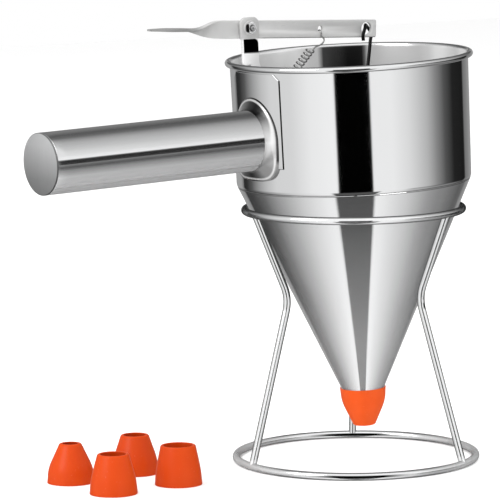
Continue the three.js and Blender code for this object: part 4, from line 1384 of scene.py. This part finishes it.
def spring_line(valve):
    """The wire's middle line and its normals: a hanging hook, a neck that sways out, open curls and a hook.

    After n curls the wire lies r sin(2 pi n) out and -r cos(2 pi n) across from the coil's axis, which starts
    beside the line of pull and ends on it.
    """
    to_hopper = np.linalg.inv(hopper_frame()) @ lever_frame(valve)
    top = moved(np.array([valve.spring_hole_at, 0, 0]), to_hopper)
    foot = np.array([valve.anchor_x, valve.bracket_front + valve.bracket_sheet / 2, valve.anchor_height])
    span = np.linalg.norm(foot - top)
    axis = (foot - top) / span
    side = np.array([0, 1, 0]) - axis * axis[1]
    side /= np.linalg.norm(side)
    other = np.cross(axis, side)
    slack = valve.spring_wire + 0.6 * MM
    down = np.array([0, 0, -1.0])
    first, first_normals = hook_line(down, side, valve.spring_hole - slack, valve.hook_half, valve.top_reach)
    last, last_normals = hook_line(-axis, side, valve.anchor_hole - slack, valve.hook_half, valve.foot_reach)
    sway_shares = np.array([[0.24, 0.84], [0.4, 1], [0.63, 0.82], [0.82, 0.54]])
    sway_along, sway_out = sway_shares[:, :1] * valve.top_neck, sway_shares[:, 1:] * valve.top_bow
    sway_across = valve.hook_half + (valve.coil - valve.hook_half) * np.arange(1, 5)[:, None] / 4
    neck = axis * sway_along + other * sway_out - side * sway_across
    coil_end = span - valve.foot_reach - valve.foot_neck
    curls = round((coil_end - valve.top_neck) / valve.pitch)
    share = np.linspace(0, 1, curls * 8 + 1)[:, None]
    swing = share * curls * FULL_TURN
    outward = other * np.sin(swing) - side * np.cos(swing)
    along = axis * (valve.top_neck + (coil_end - valve.top_neck) * share)
    coil = along + other * valve.coil_offset * (1 - share) + outward * valve.coil
    points = np.concatenate([top + first, top + neck, top + coil, foot + last[::-1]])
    normals = np.concatenate([first_normals, -side + 0 * neck, outward, last_normals[::-1]])
    return through(points, 4), through(normals, 4), top, foot


def build_spring(valve):
    """The return spring, which stretches between the bracket's foot and the lever."""
    points, normals, top, foot = spring_line(valve)
    matrix = hopper_frame()
    piece = wire("valve_return_spring", points, normals, valve.spring_wire, matrix, 12)
    painted(piece, "spring", "return_spring")
    tuple(moved(foot, matrix))
    tuple(moved(top, matrix))
    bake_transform(piece)


# Plunger

def stopper_heights(shell, valve):
    """Heights of the stopper's foot, shoulder, upper edge and top over the seam."""
    slope = cone_slope(shell)
    clear = cone_thickness(shell, shell.sheet + FIT_GAP)
    shoulder = -shell.cone_height + (valve.plug + clear - shell.cone_foot) / slope
    upper = shoulder + (valve.plug_top - valve.plug) / slope
    foot = -shell.cone_height - FIT_GAP - valve.plug_length
    return {"foot": foot, "shoulder": shoulder, "edge": upper, "top": upper + valve.plug_dome}


def build_rod(shell, valve):
    """The plunger's wire: a hook through the lever, a slant to the axis, and a straight run to the plug."""
    to_hopper = np.linalg.inv(hopper_frame()) @ lever_frame(valve)
    hole = moved(np.array([valve.rod_hole_at, 0, 0]), to_hopper)
    crown = hole + [0, 0, valve.crown_rise]
    tail, reach, depth, drop = valve.tail_reach, valve.rod_reach, valve.hook_depth, valve.hook_drop
    hang = crown + [reach, depth, -drop]
    knee, knee_round = np.array([0, 0, crown[2] - drop - valve.slant]), 12 * MM
    tail_share, depth_share, drop_share, start_share = 0.55, 0.9, 0.25, 0.04
    hook = [
        crown + [-tail, -depth, -valve.tail_drop],
        crown + [-tail, -depth, -drop],
        crown + [-tail * tail_share, -depth * depth_share, -drop * drop_share],
        crown,
        crown + [reach / 2, depth * depth_share, -drop * drop_share],
        hang,
        hang + (knee - hang) * start_share,
    ]
    foot = [0, 0, stopper_heights(shell, valve)["top"]]
    run = distinct(soft_corners([hook[-1], knee, foot], [0, knee_round, 0], 15, closed=False))
    path = np.concatenate([through(hook, 8), divided(run, 3)[1:]])
    normals = np.broadcast_to(np.array([1.0, 0, 0]), path.shape)
    piece = wire("plunger_wire", path, normals, valve.rod, hopper_frame(), 28)
    dress(piece, "rod", "plunger", "plunger_rod")


def build_stopper(shell, valve):
    """The stopper: a turned plug that follows the cone's inside, with a well round the rod."""
    at = stopper_heights(shell, valve)
    well, well_floor = valve.rod * 1.1, at["top"] - 2 * MM
    corners = [
        [0, at["foot"]],
        [valve.plug, at["foot"]],
        [valve.plug, at["shoulder"]],
        [valve.plug_top, at["edge"]],
        [valve.plug_top / 2, at["top"]],
        [well, at["top"]],
        [well, well_floor],
        [0, well_floor],
    ]
    rounds = np.array([0, 0.8, 0.4, 0.8, 1.2, 0.3, 0.2, 0]) * MM
    profile = revolved(soft_corners(corners, rounds, 6, closed=False), 96)
    piece = make_piece("plunger_plug", profile, hopper_frame(), sharp=50)
    dress(piece, "polished", "plunger", "plunger_stopper")


# Nozzles

# Outer and bore radius of each nozzle's tip, in millimetres
TIP_SIZES = {
    "nozzle_fitted": (7.1, 4.9),
    "nozzle_spare_1": (6.9, 4.8),
    "nozzle_spare_2": (8.9, 7.1),
    "nozzle_spare_3": (9.9, 8.0),
    "nozzle_spare_4": (11.1, 9.3),
}


def grip_depth(shell, nozzle):
    """How deep a nozzle's straight grip starts: its inside follows the cone's slope down to there."""
    return (nozzle.mouth - nozzle.mouth_wall - nozzle.grip) / cone_slope(shell)


def build_nozzle(shell, nozzle, name, node, body, matrix):
    """A nozzle with its mouth at height zero, turned from a closed section.

    Its tip's outer and bore radius are in TIP_SIZES, in millimetres.
    """
    tip, bore = (size * MM for size in TIP_SIZES[node])
    depth, edge = grip_depth(shell, nozzle), nozzle.edge
    corners = [
        [bore, -nozzle.height],
        [tip, -nozzle.height],
        [nozzle.shoulder_radius, -nozzle.shoulder],
        [nozzle.mouth, 0],
        [nozzle.mouth - nozzle.mouth_wall, 0],
        [nozzle.grip, -depth],
        [nozzle.grip, -depth - shell.outlet - FIT_GAP],
    ]
    rounds = edge * np.array([0.55, 1, 4.5, 0.35, 0.3, 0.3, 0.5])
    section = revolved(soft_corners(corners, rounds, 9), 128)
    piece = make_piece(name, section, matrix, wrap_rows=True, sharp=60)
    dress(piece, "silicone", body, node)


def build_nozzles(shell, nozzle):
    """The nozzle on the outlet, mouth up, and the spare ones on the table, mouth down."""
    seat = frame_from(np.eye(3), [0, 0, grip_depth(shell, nozzle) - shell.cone_height])
    build_nozzle(shell, nozzle, "nozzle_on_outlet", "nozzle_fitted", "nozzle", hopper_frame() @ seat)
    for number in range(1, 5):
        node = f"nozzle_spare_{number}"
        low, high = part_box(node)
        place = [(low[0] + high[0]) / 2, (low[1] + high[1]) / 2, low[2]]
        matrix = frame_from(np.diag([1, -1, -1]), place)
        build_nozzle(shell, nozzle, f"nozzle_loose_{number}", node, f"spare_nozzle_{number}", matrix)


# Stand

def build_rings(stand):
    """The stand's two wire rings."""
    outward = round_z(1, whole_turn(256), 0)
    for name, node, radius, height in (
        ("stand_lower_ring", "stand_base_ring", stand.base_ring, stand.wire),
        ("stand_upper_ring", "stand_top_ring", stand.top_ring, stand.top_height),
    ):
        path = outward * radius + [0, 0, height]
        points = tube(path, outward, stand.wire, 28, closed=True)
        piece = make_piece(name, points, stand_frame(), wrap_rows=True, sharp=80)
        dress(piece, "wire", "stand", node)


def build_legs(stand):
    """The legs, welded to both rings: straight to the waist's bend, and straight to the turned upper ring."""
    turn = stand.twist * np.array([0, 0.5, 1])
    radius = np.array([stand.base_ring, stand.waist, stand.top_ring])
    corners = round_z(radius, turn, [stand.wire, stand.waist_height, stand.top_height])
    path = distinct(soft_corners(corners, [0, stand.waist_bend, 0], 21, closed=False))
    normals = np.broadcast_to(np.array([0, 1.0, 0]), path.shape)
    for number in range(stand.legs):
        matrix = stand_frame() @ turned(math.pi + FULL_TURN * number / stand.legs, "Z")
        piece = wire(f"stand_bent_leg_{number + 1}", path, normals, stand.wire, matrix, 24)
        dress(piece, "wire", "stand", f"stand_leg_{number + 1}")


# Stage

def build_floor():
    """A wide pale floor. Metal doesn't mirror it: the studio shows instead."""
    half = 3.5
    corners = [(-half, -half, 0), (half, -half, 0), (half, half, 0), (-half, half, 0)]
    mesh = bpy.data.meshes.new("floor")
    mesh.from_pydata(corners, [], [[0, 1, 2, 3]])
    mesh.materials.append(finish("Pale floor", pale_floor, {"Roughness": 0.8}))
    floor = linked("floor", mesh)
    floor.visible_glossy = False


def build_camera():
    """A long lens at the photograph's angle."""
    right, up, back = camera_axes()
    middle = Vector(stand_frame()[:3, 3]) + Vector((0, 0, VIEW_TARGET_HEIGHT))
    camera = linked("camera", bpy.data.cameras.new("camera"))
    camera.data.sensor_width = SENSOR
    camera.data.lens = SENSOR * FOCAL_PIXELS / PHOTO_PIXELS
    camera.data.clip_end = 60
    turn = Matrix((right, up, back)).transposed().to_4x4()
    turn.translation = middle + back * VIEW_DISTANCE + right * VIEW_SHIFT[0] + up * VIEW_SHIFT[1]
    camera.matrix_world = turn
    bpy.context.scene.camera = camera


LOW_STUDIO = (
    (-180, 0.25), (-152, 0.22), (-149, 0.04), (-136, 0.05), (-118, 0.12), (-104, 0.25), (-90, 0.37),
    (-63, 0.62), (-35, 0.81), (-24.5, 0.84), (-21, 0.08), (24, 0.08), (27, 0.84), (38, 0.79),
    (65, 0.58), (91, 0.35), (106, 0.24), (121, 0.17), (145, 0.08), (149, 0.04), (152, 0.2), (180, 0.25),
)
LEVEL_STUDIO = (
    (-180, 0.1), (-176, 0.3), (-147, 0.33), (-141, 0.2), (-138.5, 0.02), (-131, 0.03), (-121, 0.09),
    (-108, 0.3), (-95, 0.5), (-83, 0.63), (-62, 0.65), (-42, 0.8), (-17, 0.86), (-15.6, 0.0),
    (16.9, 0.0), (18.1, 0.81), (38, 0.81), (56, 0.68), (77, 0.43), (88, 0.24), (101, 0.08),
    (115, 0.015), (137.5, 0.01), (140.5, 0.16), (162, 0.28), (176, 0.25), (180, 0.1),
)
HIGH_STUDIO = (
    (-180, 0.22), (-166, 0.08), (-146, 0.13), (-125, 0.28), (-102, 0.47), (-80, 0.63), (-69, 0.85),
    (69, 0.86), (80, 0.63), (102, 0.47), (125, 0.28), (146, 0.13), (166, 0.08), (180, 0.22),
)


def build_studio():
    """The studio round the object. Only mirror-like rays see its shape: the rest gets even white light.

    Its brightness depends on the turn round the object, in three layers by height. In each, soft panels fall
    off to both sides of a dark strip behind the camera. A dark flag hangs at the right.
    """
    world = bpy.data.worlds.new("studio")
    bpy.context.scene.world = world
    world.use_nodes = True
    shader = Shader(world.node_tree)
    back = camera_axes()[2]
    to_camera = Vector((back.x, back.y, 0)).normalized()
    to_right = Vector((-to_camera.y, to_camera.x, 0))
    direction = shader.node("ShaderNodeTexCoord", output="Generated")
    turn = shader.turn(shader.dot(direction, to_right), shader.dot(direction, to_camera))
    height = shader.dot(direction, (0, 0, 1))
    rise = shader.node("ShaderNodeMath", {"operation": "ARCSINE"}, {0: height})
    layers = (LOW_STUDIO, LEVEL_STUDIO, HIGH_STUDIO)
    low, level, high = (shader.graded(turn, DEGREE, *stops) for stops in layers)
    over_low = shader.graded(rise, DEGREE, (-20, 0.0), (-12, 1.0))
    over_level = shader.graded(rise, DEGREE, (9, 0.0), (10.5, 1.0))
    flag_sides = shader.graded(turn, DEGREE, (50, 0.0), (60, 1.0), (92, 1.0), (112, 0.0))
    flag_heights = shader.graded(
        rise, DEGREE,
        (-42, 0.0), (-20, 0.35), (-11.7, 0.62), (-11, 0.0), (-3.5, 0.0), (-2.5, 0.93), (9, 0.93), (10.5, 0.0),
    )
    studio = shader.mixed(over_level, shader.mixed(over_low, low, level), high)
    studio = shader.mixed(flag_sides * flag_heights, studio, BLACK)
    glow = shader.node("ShaderNodeBackground", None, {"Color": studio, "Strength": 1.12})
    white = shader.node("ShaderNodeBackground", None, {"Color": WHITE, "Strength": 1.0})
    mirrored = shader.node("ShaderNodeLightPath", output="Is Glossy Ray")
    both = shader.node("ShaderNodeMixShader", None, {0: mirrored, 1: white, 2: glow})
    shader.node("ShaderNodeOutputWorld", None, {"Surface": both})


def build_lights():
    """Soft panels overhead and at the left, for floor and silicone. Metal doesn't mirror the upper one."""
    middle = Vector(stand_frame()[:3, 3])
    right, back = camera_axes()[::2]
    for name, offset, size, power, mirrored in (
        ("overhead_panel", Vector((0, 0, 2.2)), 2.4, 42.0, False),
        ("left_panel", right * -1.6 + back * 1.2 + Vector((0, 0, 1.1)), 1.2, 16.0, True),
    ):
        light = bpy.data.lights.new(name, "AREA")
        light.shape = "SQUARE"
        light.size = size
        light.energy = power
        panel = linked(name, light)
        panel.location = middle + offset
        panel.rotation_mode = "QUATERNION"
        panel.rotation_quaternion = offset.to_track_quat("Z", "Y")
        panel.visible_glossy = mirrored
        panel.visible_camera = False


# Operators

class DISPENSER_OT_shell(bpy.types.Operator):
    """Builds the hopper's wall, cone and outlet"""

    bl_idname = "dispenser.shell"
    bl_label = "Hopper shell"

    def execute(self, context):
        shell = context.scene.shell_sizes
        build_wall(shell)
        build_cone(shell)
        build_outlet(shell)
        return {"FINISHED"}


class DISPENSER_OT_handle(bpy.types.Operator):
    """Builds the handle with its plate, collar, tube and end cap"""

    bl_idname = "dispenser.handle"
    bl_label = "Handle"

    def execute(self, context):
        shell, handle = context.scene.shell_sizes, context.scene.handle_sizes
        build_plate(shell, handle)
        build_collar(shell, handle)
        build_tube(shell, handle)
        build_cap(shell, handle)
        return {"FINISHED"}


class DISPENSER_OT_bracket(bpy.types.Operator):
    """Builds the bracket and the pivot's fasteners"""

    bl_idname = "dispenser.bracket"
    bl_label = "Pivot bracket"

    def execute(self, context):
        build_bracket(context.scene.shell_sizes, context.scene.lever_sizes)
        build_nut(context.scene.lever_sizes)
        build_washer(context.scene.lever_sizes)
        build_bolt(context.scene.lever_sizes)
        return {"FINISHED"}


class DISPENSER_OT_lever(bpy.types.Operator):
    """Builds the lever and its return spring"""

    bl_idname = "dispenser.lever"
    bl_label = "Lever and spring"

    def execute(self, context):
        build_lever(context.scene.lever_sizes)
        build_spring(context.scene.lever_sizes)
        return {"FINISHED"}


class DISPENSER_OT_plunger(bpy.types.Operator):
    """Builds the plunger's wire and stopper"""

    bl_idname = "dispenser.plunger"
    bl_label = "Plunger"

    def execute(self, context):
        build_rod(context.scene.shell_sizes, context.scene.lever_sizes)
        build_stopper(context.scene.shell_sizes, context.scene.lever_sizes)
        return {"FINISHED"}


class DISPENSER_OT_nozzles(bpy.types.Operator):
    """Builds the fitted nozzle and the spare ones"""

    bl_idname = "dispenser.nozzles"
    bl_label = "Nozzles"

    def execute(self, context):
        build_nozzles(context.scene.shell_sizes, context.scene.nozzle_sizes)
        return {"FINISHED"}


class DISPENSER_OT_stand(bpy.types.Operator):
    """Builds the wire stand's rings and legs"""

    bl_idname = "dispenser.stand"
    bl_label = "Wire stand"

    def execute(self, context):
        build_rings(context.scene.stand_sizes)
        build_legs(context.scene.stand_sizes)
        return {"FINISHED"}


class DISPENSER_OT_stage(bpy.types.Operator):
    """Builds the floor, the studio light and the camera"""

    bl_idname = "dispenser.stage"
    bl_label = "Stage"

    def execute(self, context):
        build_floor()
        build_studio()
        build_lights()
        build_camera()
        context.scene.view_settings.view_transform = "Standard"
        return {"FINISHED"}


OPERATORS = (
    DISPENSER_OT_stage,
    DISPENSER_OT_shell,
    DISPENSER_OT_handle,
    DISPENSER_OT_bracket,
    DISPENSER_OT_lever,
    DISPENSER_OT_plunger,
    DISPENSER_OT_nozzles,
    DISPENSER_OT_stand,
)


class DISPENSER_PT_panel(bpy.types.Panel):
    """Buttons for each group of pieces"""

    bl_label = "Batter Dispenser"
    bl_space_type = "VIEW_3D"
    bl_region_type = "UI"
    bl_category = "Dispenser"

    def draw(self, context):
        for operator in OPERATORS:
            self.layout.operator(operator.bl_idname)


def register():
    """Registers the property groups, the operators and the panel."""
    for name, group in GROUPS.items():
        bpy.utils.register_class(group)
        setattr(bpy.types.Scene, name, bpy.props.PointerProperty(type=group))
    for operator in OPERATORS:
        bpy.utils.register_class(operator)
    bpy.utils.register_class(DISPENSER_PT_panel)


def unregister():
    """Takes back what register did."""
    bpy.utils.unregister_class(DISPENSER_PT_panel)
    for operator in reversed(OPERATORS):
        bpy.utils.unregister_class(operator)
    for name, group in GROUPS.items():
        delattr(bpy.types.Scene, name)
        bpy.utils.unregister_class(group)


def main():
    register()
    bpy.ops.dispenser.stage()
    bpy.ops.dispenser.shell()
    bpy.ops.dispenser.handle()
    bpy.ops.dispenser.bracket()
    bpy.ops.dispenser.lever()
    bpy.ops.dispenser.plunger()
    bpy.ops.dispenser.nozzles()
    bpy.ops.dispenser.stand()


if __name__ == "__main__":
    main()
